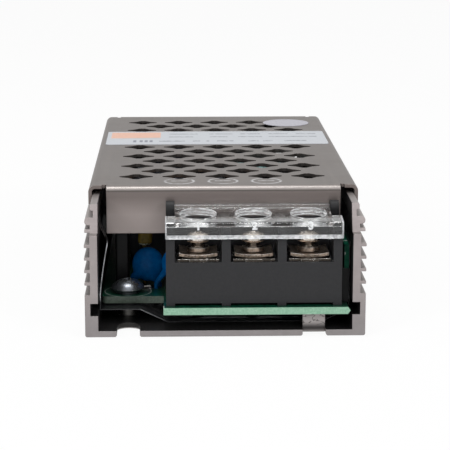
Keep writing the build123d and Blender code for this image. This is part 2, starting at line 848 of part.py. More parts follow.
# Line choke: ferrite ring on edge with two windings, standing in a plastic base
ring_x, ring_depth = 28.7 - inner_half, 35.4
ring_width = 7.0
wire_build = 1.1
base_thickness = 1.2
ring_outer = (cover_under - wound_headroom - board_top - base_thickness) / 2 - wire_build
ring_inner = 0.6 * ring_outer
ring_height = board_top + base_thickness + ring_outer + wire_build
with BuildPart() as line_choke_core:
    with BuildSketch(side(ring_x - ring_width / 2)):
        with Locations((ring_depth, ring_height)):
            Circle(ring_outer)
            Circle(ring_inner, mode=Mode.SUBTRACT)
    extrude(amount=ring_width)
finish(line_choke_core.part, "line_choke_core")

with BuildPart() as line_choke_windings:
    with BuildSketch(side(ring_x - ring_width / 2 - wire_build)):
        with Locations((ring_depth, ring_height)):
            Circle(ring_outer + wire_build)
            Circle(ring_inner - wire_build, mode=Mode.SUBTRACT)
            Rectangle(5.2, 3 * ring_outer, mode=Mode.SUBTRACT)
    extrude(amount=ring_width + 2 * wire_build)
    with BuildSketch(side(ring_x - ring_width / 2)):
        with Locations((ring_depth, ring_height)):
            Circle(ring_outer)
            Circle(ring_inner, mode=Mode.SUBTRACT)
    extrude(amount=ring_width, mode=Mode.SUBTRACT)
finish(line_choke_windings.part, "line_choke_windings")

with BuildPart() as line_choke_base:
    with BuildSketch(plan(board_top)):
        with Locations((ring_x, ring_depth)):
            RectangleRounded(ring_width + 2 * wire_build, 16.0, 1.0)
    extrude(amount=base_thickness + 1.6)
    with BuildSketch(side(ring_x - ring_width)):
        with Locations((ring_depth, ring_height)):
            Circle(ring_outer + wire_build + 0.02)
    extrude(amount=2 * ring_width, mode=Mode.SUBTRACT)
finish(line_choke_base.part, "line_choke_base")

# Bulk capacitor lying along the board
can_start, can_radius, can_wall_gap, can_rear_gap = 42.0, 10.0, 2.25, 2.0
can_x = can_wall_gap + can_radius - film_inner
transistor_depth = case_length - transistor_rear_inset
can_length = transistor_depth - package_width / 2 - can_rear_gap - can_start
with BuildPart() as bulk_capacitor:
    with BuildSketch(face(can_start)):
        with Locations((can_x, board_top + can_radius)):
            Circle(can_radius)
    extrude(amount=-can_length)
    chamfer(edges().filter_by(GeomType.CIRCLE), 0.8)
    with BuildSketch(face(can_start)):
        with Locations((can_x - 3.75, board_top + can_radius), (can_x + 3.75, board_top + can_radius)):
            Circle(lead_diameter / 2)
    extrude(amount=1.6)
    with BuildSketch(plan(board_top)):
        with Locations((can_x - 3.75, can_start - 1.2), (can_x + 3.75, can_start - 1.2)):
            Circle(lead_diameter / 2)
    extrude(amount=can_radius)
finish(bulk_capacitor.part, "bulk_capacitor")


def flat_package(x_inner, depth, width, height, thickness, seat, leads, pad_side):
    """Moulded semiconductor standing against a side wall, its leads down in the board."""
    outward = Align.MIN if pad_side > 0 else Align.MAX
    with BuildPart() as package:
        with BuildSketch(plan(board_top + seat)):
            with Locations((x_inner, depth)):
                Rectangle(thickness, width, align=(outward, Align.CENTER))
        extrude(amount=height)
        chamfer(faces().sort_by(Axis.Z)[-1].edges(), 0.3)
        with BuildSketch(plan(board_top)):
            with GridLocations(0, 2.54 if leads < 4 else 5.0, 1, leads):
                with Locations((x_inner + pad_side * thickness / 2, depth)):
                    Rectangle(0.5, lead_diameter)
        extrude(amount=seat)
    return package.part


pad_thickness = 0.3
package_thickness = 4.5
package_height = 15.4
package_seat = 4.0
bridge_thickness = 3.5
wall_stack = film_inner - pad_thickness - package_thickness
rectifier_depths = (case_length - 50.0, case_length - 38.0)


def thermal_pad(wall_side, depth, width):
    """Soft pad between a package and the film on the wall."""
    with BuildPart() as pad:
        with BuildSketch(plan(board_top + package_seat - 0.5)):
            with Locations((wall_side * film_inner, depth)):
                inward = Align.MAX if wall_side > 0 else Align.MIN
                Rectangle(pad_thickness, width, align=(inward, Align.CENTER))
        extrude(amount=package_height + 1.0)
    return pad.part


def spring_clip(wall_side, depth, width):
    """Folded spring strip: a foot on the board, a leg and a nose that presses the package."""
    strip = 0.8
    nose_x = wall_side * wall_stack
    with BuildPart() as clip:
        with BuildSketch(face(depth - width / 2)):
            with BuildLine():
                FilletPolyline(
                    (nose_x - wall_side * 8.0, board_top + strip / 2),
                    (nose_x - wall_side * 3.2, board_top + strip / 2),
                    (nose_x - wall_side * 4.4, board_top + 15.0),
                    (nose_x - wall_side * strip / 2, board_top + 11.5),
                    (nose_x - wall_side * 1.6, board_top + 7.6),
                    radius=0.7,
                )
            trace(line_width=strip)
        extrude(amount=-width)
        with BuildSketch(side(nose_x if wall_side > 0 else nose_x - 1)):
            Rectangle(4 * case_length, 4 * case_height)
        extrude(amount=1, mode=Mode.SUBTRACT)
    return clip.part


finish(
    flat_package(
        -wall_stack, transistor_depth, package_width, package_height,
        package_thickness, package_seat, 3, -1,
    ),
    "switching_transistor",
)
finish(thermal_pad(-1, transistor_depth, 12.0), "transistor_pad")
finish(spring_clip(-1, transistor_depth, 8.0), "transistor_clip")
for number, depth in enumerate(rectifier_depths, 1):
    finish(
        flat_package(
            wall_stack, depth, package_width, package_height,
            package_thickness, package_seat, 3, 1,
        ),
        f"output_rectifier_{number}",
    )
rectifier_middle = sum(rectifier_depths) / 2
finish(thermal_pad(1, rectifier_middle, 24.0), "rectifier_pad")
finish(spring_clip(1, rectifier_middle, 20.0), "rectifier_clip")
finish(
    flat_package(film_inner - bridge_thickness, 55.0, 22.0, 18.0, bridge_thickness, 3.0, 4, 1),
    "bridge_rectifier",
)

# Transformer lying on the board, its winding along the supply
core_width, core_length, core_height = 26.0, 24.0, 9.0
rail_reach = 0.4
core_x = (can_x + can_radius + film_inner - bridge_thickness) / 2
core_depth = ring_depth + ring_outer + wire_build + 1.1 + rail_reach + core_length / 2
core_leg = 4.2
bobbin_wall = 0.8
bobbin_flange = 1.0
winding_beside = 3.2
bobbin_stand = 2.4
window_length = core_length - 2 * core_leg
centre_leg = 2 * core_leg
spool_width = centre_leg + 2 * bobbin_wall
spool_height = core_height + 2 * bobbin_wall
winding_width = spool_width + 2 * winding_beside
winding_height = cover_under - wound_headroom - board_top - bobbin_stand
core_middle = board_top + bobbin_stand + winding_height / 2
with BuildPart() as transformer_core:
    with BuildSketch(plan(core_middle - core_height / 2)):
        with Locations((core_x, core_depth)):
            Rectangle(core_width, core_length)
        window_width = (core_width - 2 * core_leg - centre_leg) / 2
        window_offset = (centre_leg + window_width) / 2
        with Locations((core_x - window_offset, core_depth), (core_x + window_offset, core_depth)):
            Rectangle(window_width, window_length, mode=Mode.SUBTRACT)
    extrude(amount=core_height)
finish(transformer_core.part, "transformer_core")

with BuildPart() as transformer_bobbin:
    with BuildSketch(face(core_depth - window_length / 2)):
        with Locations((core_x, core_middle)):
            Rectangle(spool_width, spool_height)
            Rectangle(centre_leg, core_height, mode=Mode.SUBTRACT)
    extrude(amount=-window_length)
    for start in (core_depth - window_length / 2, core_depth + window_length / 2 - bobbin_flange):
        with BuildSketch(face(start)):
            with Locations((core_x, core_middle)):
                Rectangle(winding_width, winding_height)
                Rectangle(centre_leg, core_height, mode=Mode.SUBTRACT)
        extrude(amount=-bobbin_flange)
    # Pin rails under both ends
    for rail_depth in (
        core_depth - core_length / 2 - rail_reach,
        core_depth + core_length / 2 + rail_reach,
    ):
        with BuildSketch(plan(board_top)):
            with Locations((core_x, (rail_depth + core_depth) / 2)):
                Rectangle(winding_width, abs(rail_depth - core_depth))
        extrude(amount=core_middle - winding_height / 2 - board_top)
finish(transformer_bobbin.part, "transformer_bobbin")

with BuildPart() as transformer_winding:
    with BuildSketch(face(core_depth - window_length / 2 + bobbin_flange)):
        with Locations((core_x, core_middle)):
            RectangleRounded(winding_width - 0.6, winding_height - 0.6, 1.6)
            Rectangle(spool_width, spool_height, mode=Mode.SUBTRACT)
    extrude(amount=-(window_length - 2 * bobbin_flange))
finish(transformer_winding.part, "transformer_winding")

# Output choke: ring lying on the board under its winding
coil_x, coil_depth = 13.6 - inner_half, case_length - 38.6
coil_outer, coil_inner, coil_height = 7.6, 4.2, 6.0
coil_wire = 1.2
coil_gap = 50.0
with BuildPart() as output_choke_core:
    with BuildSketch(plan(board_top + coil_wire)):
        with Locations((coil_x, coil_depth)):
            Circle(coil_outer)
            Circle(coil_inner, mode=Mode.SUBTRACT)
    extrude(amount=coil_height)
finish(output_choke_core.part, "output_choke_core")

with BuildPart() as output_choke_winding:
    with BuildSketch(plan(board_top)):
        with Locations((coil_x, coil_depth)):
            Circle(coil_outer + coil_wire)
            Circle(coil_inner - coil_wire, mode=Mode.SUBTRACT)
            reach = 2 * coil_outer
            Polygon(
                (0, 0),
                (reach * cos(radians(coil_gap / 2)), reach * sin(radians(coil_gap / 2))),
                (reach * cos(radians(coil_gap / 2)), -reach * sin(radians(coil_gap / 2))),
                align=None,
                mode=Mode.SUBTRACT,
            )
    extrude(amount=coil_height + 2 * coil_wire)
    with BuildSketch(plan(board_top + coil_wire)):
        with Locations((coil_x, coil_depth)):
            Circle(coil_outer)
            Circle(coil_inner, mode=Mode.SUBTRACT)
    extrude(amount=coil_height, mode=Mode.SUBTRACT)
finish(output_choke_winding.part, "output_choke_winding")

# Output capacitors standing in a row behind the output block
output_can_radius, output_can_height = 5.0, cover_under - can_headroom - board_top
for number, can_place in enumerate((-10.2, 0.4, 11.0), 1):
    with BuildPart() as output_capacitor:
        with BuildSketch(plan(board_top)):
            with Locations((can_place, case_length - 24.4)):
                Circle(output_can_radius)
        extrude(amount=output_can_height)
        chamfer(edges().filter_by(GeomType.CIRCLE), 0.5)
    finish(output_capacitor.part, f"output_capacitor_{number}")

# Control board on edge beside the right wall, held by a header strip
control_thickness = 1.0
header_thickness = 1.4
header_height = 7.65
control_height = 5.4
control_right = film_inner - part_gap
with BuildPart() as control_header:
    with BuildSketch(side(control_right - header_thickness)):
        with Locations((5.0, board_top)):
            Rectangle(27.0, header_height, align=(Align.MIN, Align.MIN))
    extrude(amount=header_thickness)
finish(control_header.part, "control_header")

with BuildPart() as control_board:
    with BuildSketch(side(control_right - control_thickness)):
        with Locations((5.0, board_top + header_height)):
            Rectangle(27.0, control_height, align=(Align.MIN, Align.MIN))
    extrude(amount=control_thickness)
    with BuildSketch(side(control_right - control_thickness)):
        with Locations((26.0, board_top + header_height + control_height / 2)):
            Rectangle(6.0, 4.4)
    extrude(amount=-1.5)
finish(control_board.part, "control_board")

# Indicator lamp on the output end of the board
lamp_across, lamp_depth, lamp_radius, lamp_height = 11.7 - inner_half, 13.6, 1.5, 4.4
with BuildPart() as indicator_led:
    with BuildSketch(plan(board_top, 1)):
        with Locations((lamp_across, lamp_depth)):
            Circle(lamp_radius + 0.4)
    extrude(amount=1.0)
    with BuildSketch(plan(board_top + 1.0, 1)):
        with Locations((lamp_across, lamp_depth)):
            Circle(lamp_radius)
    extrude(amount=lamp_height - 1.0)
    chamfer(faces().sort_by(Axis.Z)[-1].edges(), 0.45 * lamp_radius)
finish(indicator_led.part, "indicator_led")

# Output voltage trimmer, turned from the output end
trim_across, trim_front = 4.7 - inner_half, 11.6
trim_width, trim_length, trim_height = 6.8, 4.8, 7.2
rotor_radius, rotor_depth, rotor_stand = 1.9, 1.6, 0.4
rotor_clearance = 0.06
rotor_height = board_top + trim_height - 3.2
with BuildPart() as voltage_trimmer:
    with BuildSketch(plan(board_top, 1)):
        with Locations((trim_across, trim_front)):
            Rectangle(trim_width, trim_length, align=(Align.CENTER, Align.MIN))
    extrude(amount=trim_height)
    fillet(edges().filter_by(Axis.Z), 0.4)
    with BuildSketch(face(trim_front, 1)):
        with Locations((trim_across, rotor_height)):
            Circle(rotor_radius + rotor_clearance)
    extrude(amount=-rotor_depth, mode=Mode.SUBTRACT)
finish(voltage_trimmer.part, "voltage_trimmer")

with BuildPart() as trimmer_rotor:
    with BuildSketch(face(trim_front - rotor_stand, 1)):
        with Locations((trim_across, rotor_height)):
            Circle(rotor_radius)
    extrude(amount=-(rotor_depth + rotor_stand - rotor_clearance))
    with BuildSketch(face(trim_front - rotor_stand, 1)):
        with Locations((trim_across, rotor_height)):
            Rectangle(2 * rotor_radius, 0.6)
    extrude(amount=-0.8, mode=Mode.SUBTRACT)
finish(trimmer_rotor.part, "trimmer_rotor")
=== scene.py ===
import json
from math import pi, radians

import bmesh
import bpy
from mathutils import Matrix, Vector


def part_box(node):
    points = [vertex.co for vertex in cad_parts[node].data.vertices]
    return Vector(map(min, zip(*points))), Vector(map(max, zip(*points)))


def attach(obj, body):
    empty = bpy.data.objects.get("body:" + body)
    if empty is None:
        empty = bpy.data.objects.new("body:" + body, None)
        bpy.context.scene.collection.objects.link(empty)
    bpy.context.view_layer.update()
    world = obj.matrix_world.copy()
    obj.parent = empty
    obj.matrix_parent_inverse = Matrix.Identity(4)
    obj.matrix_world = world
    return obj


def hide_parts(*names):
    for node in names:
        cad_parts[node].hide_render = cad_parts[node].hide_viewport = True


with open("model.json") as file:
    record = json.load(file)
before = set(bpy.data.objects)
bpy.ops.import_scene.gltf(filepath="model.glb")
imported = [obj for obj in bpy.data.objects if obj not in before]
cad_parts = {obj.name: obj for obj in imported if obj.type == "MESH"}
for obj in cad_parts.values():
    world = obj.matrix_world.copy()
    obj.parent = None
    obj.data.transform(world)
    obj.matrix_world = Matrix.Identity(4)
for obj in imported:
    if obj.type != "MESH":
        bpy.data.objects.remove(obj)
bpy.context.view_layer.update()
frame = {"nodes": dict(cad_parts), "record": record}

parts = frame["nodes"]
scene = bpy.context.scene
MM = 0.001               # a millimetre, in the metres of the scene
METRE = 1000.0           # a metre, in the millimetres that the shapes are modelled in


def tone(red, green, blue):
    """A printed colour, 0 to 255 a channel, as the linear values that shaders use."""
    def linear(value):
        share = value / 255
        return share / 12.92 if share <= 0.04045 else ((share + 0.055) / 1.055) ** 2.4
    return linear(red), linear(green), linear(blue), 1.0


def tinted(colour, times, more=0.0):
    """A colour made darker or paler by a factor and a little more."""
    return tuple(min(1.0, times * channel + more) for channel in colour[:3]) + (1.0,)


# Node helpers

def put(tree, kind, inputs=None, **settings):
    """Adds a node, sets its properties, and sets or links its inputs by name or number."""
    node = tree.nodes.new(kind)
    for name, value in settings.items():
        setattr(node, name, value)
    for name, value in (inputs or {}).items():
        socket = node.inputs[name]
        if isinstance(value, bpy.types.NodeSocket):
            tree.links.new(value, socket)
        else:
            socket.default_value = value
    return node


def maths(tree, operation, first, second=0.0, third=0.0, clamp=False):
    """The value of one Math node."""
    node = put(tree, "ShaderNodeMath", {0: first, 1: second, 2: third}, operation=operation)
    node.use_clamp = clamp
    return node.outputs[0]


def product(tree, first, second):
    """Two masks or values multiplied."""
    return maths(tree, "MULTIPLY", first, second)


def unsigned(tree, value):
    """The size of a value, without its sign."""
    return maths(tree, "ABSOLUTE", value)


def blend_colour(tree, mask, under, over, strength=1.0):
    """One colour laid over another by a mask, at full strength or less."""
    share = mask if strength == 1.0 else product(tree, mask, strength)
    node = put(tree, "ShaderNodeMix", {0: share, 6: under, 7: over}, data_type="RGBA")
    return node.outputs[2]


def stretch(tree, value, low, high, to_low=0.0, to_high=1.0):
    """A value remapped from one range to another, clamped."""
    node = put(tree, "ShaderNodeMapRange", {0: value, 1: low, 2: high, 3: to_low, 4: to_high})
    return node.outputs[0]


def ramp(tree, place, start, end, at_start=0.0, at_end=1.0):
    """A mask that changes between two places given in millimetres."""
    return stretch(tree, place, start * MM, end * MM, at_start, at_end)


def band(tree, place, low, high, low_edge, high_edge):
    """Mask between two places in millimetres, with a soft edge inside each of them."""
    return product(tree, ramp(tree, place, low, low + low_edge),
                   ramp(tree, place, high, high - high_edge))


def object_place(tree):
    """Where a point of the surface lies, in Object coordinates."""
    return put(tree, "ShaderNodeTexCoord").outputs["Object"]


def spot(tree):
    """The three Object coordinates, one by one."""
    return put(tree, "ShaderNodeSeparateXYZ", {0: object_place(tree)}).outputs


def facing(tree):
    """The three parts of the surface's direction."""
    normal = put(tree, "ShaderNodeNewGeometry").outputs["Normal"]
    return put(tree, "ShaderNodeSeparateXYZ", {0: normal}).outputs


# Shared effects

FLOAT, VECTOR = "NodeSocketFloat", "NodeSocketVector"


def new_group(name, inputs, outputs=(("Mask", FLOAT),)):
    """A shader group with the named outputs and number inputs, which come with their defaults."""
    group = bpy.data.node_groups.new(name, "ShaderNodeTree")
    for label, value in inputs.items():
        socket = group.interface.new_socket(label, in_out="INPUT", socket_type=FLOAT)
        socket.default_value = value
    for label, kind in outputs:
        group.interface.new_socket(label, in_out="OUTPUT", socket_type=kind)
    entry = group.nodes.new("NodeGroupInput")
    leaving = group.nodes.new("NodeGroupOutput")
    return group, entry.outputs, leaving.inputs


def drawn_lines_group():
    """Fine lines left along the length by the extrusion die or the rolling mill."""
    group, entry, leaving = new_group(
        "drawn lines", {"Across": 2500.0, "Along": 25.0, "Contrast": 1.0})
    scale = put(group, "ShaderNodeCombineXYZ", {
        0: entry["Across"], 1: entry["Along"], 2: entry["Across"]})
    stretched = put(group, "ShaderNodeVectorMath", {
        0: object_place(group), 1: scale.outputs[0]}, operation="MULTIPLY")
    noise = put(group, "ShaderNodeTexNoise", {
        "Vector": stretched.outputs[0], "Scale": 1.0, "Detail": 3.0, "Roughness": 0.6})
    centred = maths(group, "SUBTRACT", noise.outputs["Fac"], 0.5)
    spread = maths(group, "MULTIPLY_ADD", centred, entry["Contrast"], 0.5, clamp=True)
    group.links.new(spread, leaving["Mask"])
    return group


def speckle_group():
    """Even fine grain, as on moulded plastic, solder mask or bead-blasted metal."""
    group, entry, leaving = new_group("speckle", {"Fineness": 3000.0, "Softness": 0.5})
    noise = put(group, "ShaderNodeTexNoise", {
        "Vector": object_place(group), "Scale": entry["Fineness"], "Detail": 4.0,
        "Roughness": entry["Softness"]})
    group.links.new(noise.outputs["Fac"], leaving["Mask"])
    return group


def handling_group():
    """Broad soft patches where hands and packing have rubbed the surface."""
    group, entry, leaving = new_group("handling marks", {"Patch Size": 60.0, "Amount": 1.0})
    noise = put(group, "ShaderNodeTexNoise", {
        "Vector": object_place(group), "Scale": entry["Patch Size"], "Detail": 5.0,
        "Roughness": 0.65, "Distortion": 0.4})
    patch = stretch(group, noise.outputs["Fac"], 0.42, 0.72)
    group.links.new(product(group, patch, entry["Amount"]), leaving["Mask"])
    return group


def edge_wear_group():
    """Narrow bright edges, broken up by grain: wear on most finishes, a painted glint on plated
    metal.
    """
    group, entry, leaving = new_group(
        "edge wear and glint", {"Width": 0.2 * MM, "Amount": 1.0}, (("Mask", FLOAT), ("Normal", VECTOR)))
    bevel = put(group, "ShaderNodeBevel", {"Radius": entry["Width"]}, samples=6)
    flat = put(group, "ShaderNodeNewGeometry").outputs["Normal"]
    agree = put(group, "ShaderNodeVectorMath", {0: bevel.outputs[0], 1: flat},
                operation="DOT_PRODUCT")
    edge = stretch(group, agree.outputs["Value"], 0.995, 0.86)
    grain = put(group, "ShaderNodeTexNoise", {
        "Vector": object_place(group), "Scale": 900.0, "Detail": 3.0})
    broken = product(group, edge, stretch(group, grain.outputs["Fac"], 0.35, 0.6))
    group.links.new(product(group, broken, entry["Amount"]), leaving["Mask"])
    group.links.new(bevel.outputs[0], leaving["Normal"])
    return group


def copper_tracks_group():
    """Copper tracks that show through the solder mask of a board."""
    group, entry, leaving = new_group("copper tracks", {"Fineness": 330.0, "Gap": 0.06})
    tracks = put(group, "ShaderNodeTexVoronoi", {
        "Vector": object_place(group), "Scale": entry["Fineness"]}, feature="DISTANCE_TO_EDGE")
    group.links.new(stretch(group, tracks.outputs["Distance"], entry["Gap"], 0.09),
                    leaving["Mask"])
    return group


def wound_turns_group():
    """Parallel turns of wire or tape, laid side by side along the length."""
    group, entry, leaving = new_group("wound turns", {"Turns": 330.0})
    wave = put(group, "ShaderNodeTexWave", {
        "Vector": object_place(group), "Scale": entry["Turns"], "Distortion": 0.3,
        "Detail": 1.0}, wave_type="BANDS", bands_direction="Y")
    group.links.new(wave.outputs["Fac"], leaving["Mask"])
    return group


def printed_field_group():
    """A printed rectangle on a level surface, with slightly soft edges."""
    group, entry, leaving = new_group(
        "printed field", {"Middle X": 0.0, "Middle Y": 0.0, "Half Width": 5.0 * MM,
                          "Half Length": 5.0 * MM, "Edge": 0.08 * MM})
    axes = spot(group)
    sides = []
    for axis, middle, half in ((0, "Middle X", "Half Width"), (1, "Middle Y", "Half Length")):
        away = unsigned(group, maths(group, "SUBTRACT", axes[axis], entry[middle]))
        inside = maths(group, "SUBTRACT", entry[half], away)
        sides.append(maths(group, "DIVIDE", inside, entry["Edge"], clamp=True))
    group.links.new(product(group, *sides), leaving["Mask"])
    return group


def printed_ring_group():
    """A thin printed circle on a level surface."""
    group, entry, leaving = new_group(
        "printed ring", {"Middle X": 0.0, "Middle Y": 0.0, "Radius": 4.0 * MM, "Line": 0.2 * MM})
    axes = spot(group)
    across = maths(group, "SUBTRACT", axes[0], entry["Middle X"])
    along = maths(group, "SUBTRACT", axes[1], entry["Middle Y"])
    squares = maths(group, "MULTIPLY_ADD", across, across, maths(group, "POWER", along, 2.0))
    reach = maths(group, "SQRT", squares)
    away = unsigned(group, maths(group, "SUBTRACT", reach, entry["Radius"]))
    inside = maths(group, "SUBTRACT", entry["Line"], away)
    share = maths(group, "DIVIDE", inside, entry["Line"])
    group.links.new(maths(group, "MULTIPLY", share, 1.6, clamp=True), leaving["Mask"])
    return group


DRAWN_LINES = drawn_lines_group()
SPECKLE = speckle_group()
HANDLING = handling_group()
EDGE_WEAR_AND_GLINT = edge_wear_group()
COPPER_TRACKS = copper_tracks_group()
WOUND_TURNS = wound_turns_group()
PRINTED_FIELD = printed_field_group()
PRINTED_RING = printed_ring_group()


def place_group(tree, group, **values):
    """Places a shared effect in a material with its own values."""
    node = tree.nodes.new("ShaderNodeGroup")
    node.node_tree = group
    for label, value in values.items():
        node.inputs[label.replace("_", " ")].default_value = value
    return node


def effect(tree, group, **values):
    """The mask of a shared effect, placed with its own values."""
    return place_group(tree, group, **values).outputs["Mask"]


def field(tree, middle, half, edge=0.08):
    """Mask of a printed rectangle given in millimetres."""
    return effect(tree, PRINTED_FIELD, Middle_X=middle[0] * MM, Middle_Y=middle[1] * MM,
                  Half_Width=half[0] * MM, Half_Length=half[1] * MM, Edge=edge * MM)


def ring(tree, middle, radius, line):
    """Mask of a printed circle given in millimetres."""
    return effect(tree, PRINTED_RING, Middle_X=middle[0] * MM, Middle_Y=middle[1] * MM,
                  Radius=radius * MM, Line=line * MM)


# Finishes

def new_finish(name, colour, roughness, metallic=0.0, **sockets):
    """A material with one Principled shader whose even values are set on its own sockets."""
    finish = bpy.data.materials.new(name)
    finish.use_nodes = True
    tree = finish.node_tree
    shader = tree.nodes["Principled BSDF"]
    shader.inputs["Base Color"].default_value = colour
    shader.inputs["Roughness"].default_value = roughness
    shader.inputs["Metallic"].default_value = metallic
    for label, value in sockets.items():
        shader.inputs[label.replace("_", " ")].default_value = value
    return finish, tree, shader


def relief(tree, shader, height, strength, depth, normal=None):
    """Feeds a height into the shader's normal, with its depth in millimetres."""
    bump = put(tree, "ShaderNodeBump", {
        "Height": height, "Strength": strength, "Distance": depth * MM})
    if normal is not None:
        tree.links.new(normal, bump.inputs["Normal"])
    tree.links.new(bump.outputs[0], shader.inputs["Normal"])


LINE_LENGTH = 110.0      # how many times longer than wide a drawn line is


def aluminium_finish(name, colour, worn, roughness, metallic, fineness, wear):
    """Mill aluminium with drawn lines, handling marks and bright rubbed edges."""
    finish, tree, shader = new_finish(name, colour, roughness, metallic)
    lines = effect(tree, DRAWN_LINES, Across=fineness, Along=fineness / LINE_LENGTH,
                   Contrast=1.5)
    hands = effect(tree, HANDLING, Patch_Size=70.0, Amount=0.6)
    edges = place_group(tree, EDGE_WEAR_AND_GLINT, Width=0.22 * MM, Amount=wear)
    lined = blend_colour(tree, stretch(tree, lines, 0.2, 0.8, 0.0, 0.22), colour, worn)
    patched = blend_colour(tree, hands, lined, tinted(colour, 0.6), 0.14)
    rubbed = blend_colour(tree, edges.outputs["Mask"], patched, worn)
    tree.links.new(rubbed, shader.inputs["Base Color"])
    dull = maths(tree, "MULTIPLY_ADD", lines, 0.12, roughness - 0.06)
    tree.links.new(maths(tree, "MULTIPLY_ADD", hands, 0.08, dull), shader.inputs["Roughness"])
    relief(tree, shader, lines, 0.25, 0.02, edges.outputs["Normal"])
    return finish, tree, shader, rubbed


def moulded_finish(name, colour, roughness, sheen):
    """Moulded plastic with fine grain and slightly paler edges."""
    finish, tree, shader = new_finish(name, colour, roughness, Specular_IOR_Level=sheen)
    speck = effect(tree, SPECKLE, Fineness=1500.0, Softness=0.55)
    hands = effect(tree, HANDLING, Patch_Size=110.0, Amount=0.7)
    edges = place_group(tree, EDGE_WEAR_AND_GLINT, Width=0.18 * MM, Amount=0.5)
    pale = tinted(colour, 1.7, 0.02)
    flecked = blend_colour(tree, stretch(tree, speck, 0.35, 0.75, 0.0, 0.12), colour, pale)
    worn = blend_colour(tree, edges.outputs["Mask"], flecked, pale)
    tree.links.new(worn, shader.inputs["Base Color"])
    tree.links.new(maths(tree, "MULTIPLY_ADD", hands, 0.14, roughness),
                   shader.inputs["Roughness"])
    relief(tree, shader, speck, 0.45, 0.02, edges.outputs["Normal"])
    return finish


BARRIER_SHADE_RISE = (23.6, 24.6)


def block_finish():
    """The terminal blocks' black plastic, with painted shade darkening the barriers that rise
    from it.
    """
    finish = moulded_finish("block_black_finish", tone(34, 34, 36), 0.48, 0.3)
    tree = finish.node_tree
    base = tree.nodes["Principled BSDF"].inputs["Base Color"]
    skin = base.links[0].from_socket
    # Painted shade: the barriers and ears darken towards their tops, where the lamps light them.
    barrier_shade = ramp(tree, spot(tree)[2], *BARRIER_SHADE_RISE, 0.0, 0.7)
    tree.links.new(blend_colour(tree, barrier_shade, skin, tone(8, 8, 9)), base)
    return finish


def plated_finish(name, colour, roughness, tarnish, width=0.12, rubbed=0.9, metal=1.0,
                  shaded_below=None, mottle=0.2):
    """Plated steel, mottled on its faces, with a painted glint along its edges and painted shade
    below a given height.
    """
    finish, tree, shader = new_finish(name, colour, roughness, metal)
    hands = effect(tree, HANDLING, Patch_Size=420.0, Amount=1.0)
    speck = effect(tree, SPECKLE, Fineness=2200.0, Softness=0.6)
    edges = place_group(tree, EDGE_WEAR_AND_GLINT, Width=width * MM, Amount=rubbed)
    aged = blend_colour(tree, hands, colour, tarnish, 0.75)
    aged = blend_colour(tree, stretch(tree, speck, 0.48, 0.6, 0.0, mottle), aged, tarnish)
    # Painted glint: near-white colour along the edges.
    skin = blend_colour(tree, edges.outputs["Mask"], aged, tone(240, 237, 232))
    # Painted shade: darker below the given height, as on a terminal screw's neck under its head.
    if shaded_below:
        low_shade = ramp(tree, spot(tree)[2], shaded_below, shaded_below - 0.2, 0.0, 0.8)
        skin = blend_colour(tree, low_shade, skin, tarnish)
    tree.links.new(skin, shader.inputs["Base Color"])
    tree.links.new(maths(tree, "MULTIPLY_ADD", hands, 0.18, roughness),
                   shader.inputs["Roughness"])
    relief(tree, shader, speck, 0.2, 0.01, edges.outputs["Normal"])
    return finish


def dipped_finish(name, colour, deep, print_and_glint_band=None):
    """Dipped resin: deep colour under a glossy, slightly wavy skin, with or without a pale band
    that is partly print and partly a painted glint.
    """
    finish, tree, shader = new_finish(name, colour, 0.25, Specular_IOR_Level=0.05)
    hands = effect(tree, HANDLING, Patch_Size=300.0, Amount=1.0)
    speck = effect(tree, SPECKLE, Fineness=900.0, Softness=0.6)
    mixed = blend_colour(tree, stretch(tree, speck, 0.15, 0.7), deep, colour)
    mixed = blend_colour(tree, hands, mixed, deep, 0.3)
    if print_and_glint_band:
        # The pale band along the lower edge: partly print, partly painted glints.
        printed = product(tree, band(tree, spot(tree)[2], *print_and_glint_band, 0.2, 0.3),
                          stretch(tree, speck, 0.46, 0.54))
        mixed = blend_colour(tree, printed, mixed, tone(214, 224, 214))
    tree.links.new(mixed, shader.inputs["Base Color"])
    tree.links.new(stretch(tree, hands, 0.0, 1.0, 0.2, 0.34), shader.inputs["Roughness"])
    relief(tree, shader, speck, 0.2, 0.06)
    return finish


def wound_finish(name, colour, dark, turns):
    """Enamelled wire or tape: fine parallel turns in colour and relief."""
    finish, tree, shader = new_finish(name, colour, 0.35, Coat_Weight=0.3)
    wave = effect(tree, WOUND_TURNS, Turns=turns)
    tree.links.new(blend_colour(tree, wave, dark, colour), shader.inputs["Base Color"])
    relief(tree, shader, wave, 0.5, 0.1)
    return finish


LIP_TOP, LIP_FOOT = 28.5, 24.5
VENTED_HALF = (27.0, 55.0)
RING_COLUMNS, RING_ROW, RING_RADIUS, RING_LINE = (-10.0, 0.0, 10.0), -48.6, 3.3, 0.42
STROKE_ROW, STROKE_HALF = -48.2, (1.9, 0.5)


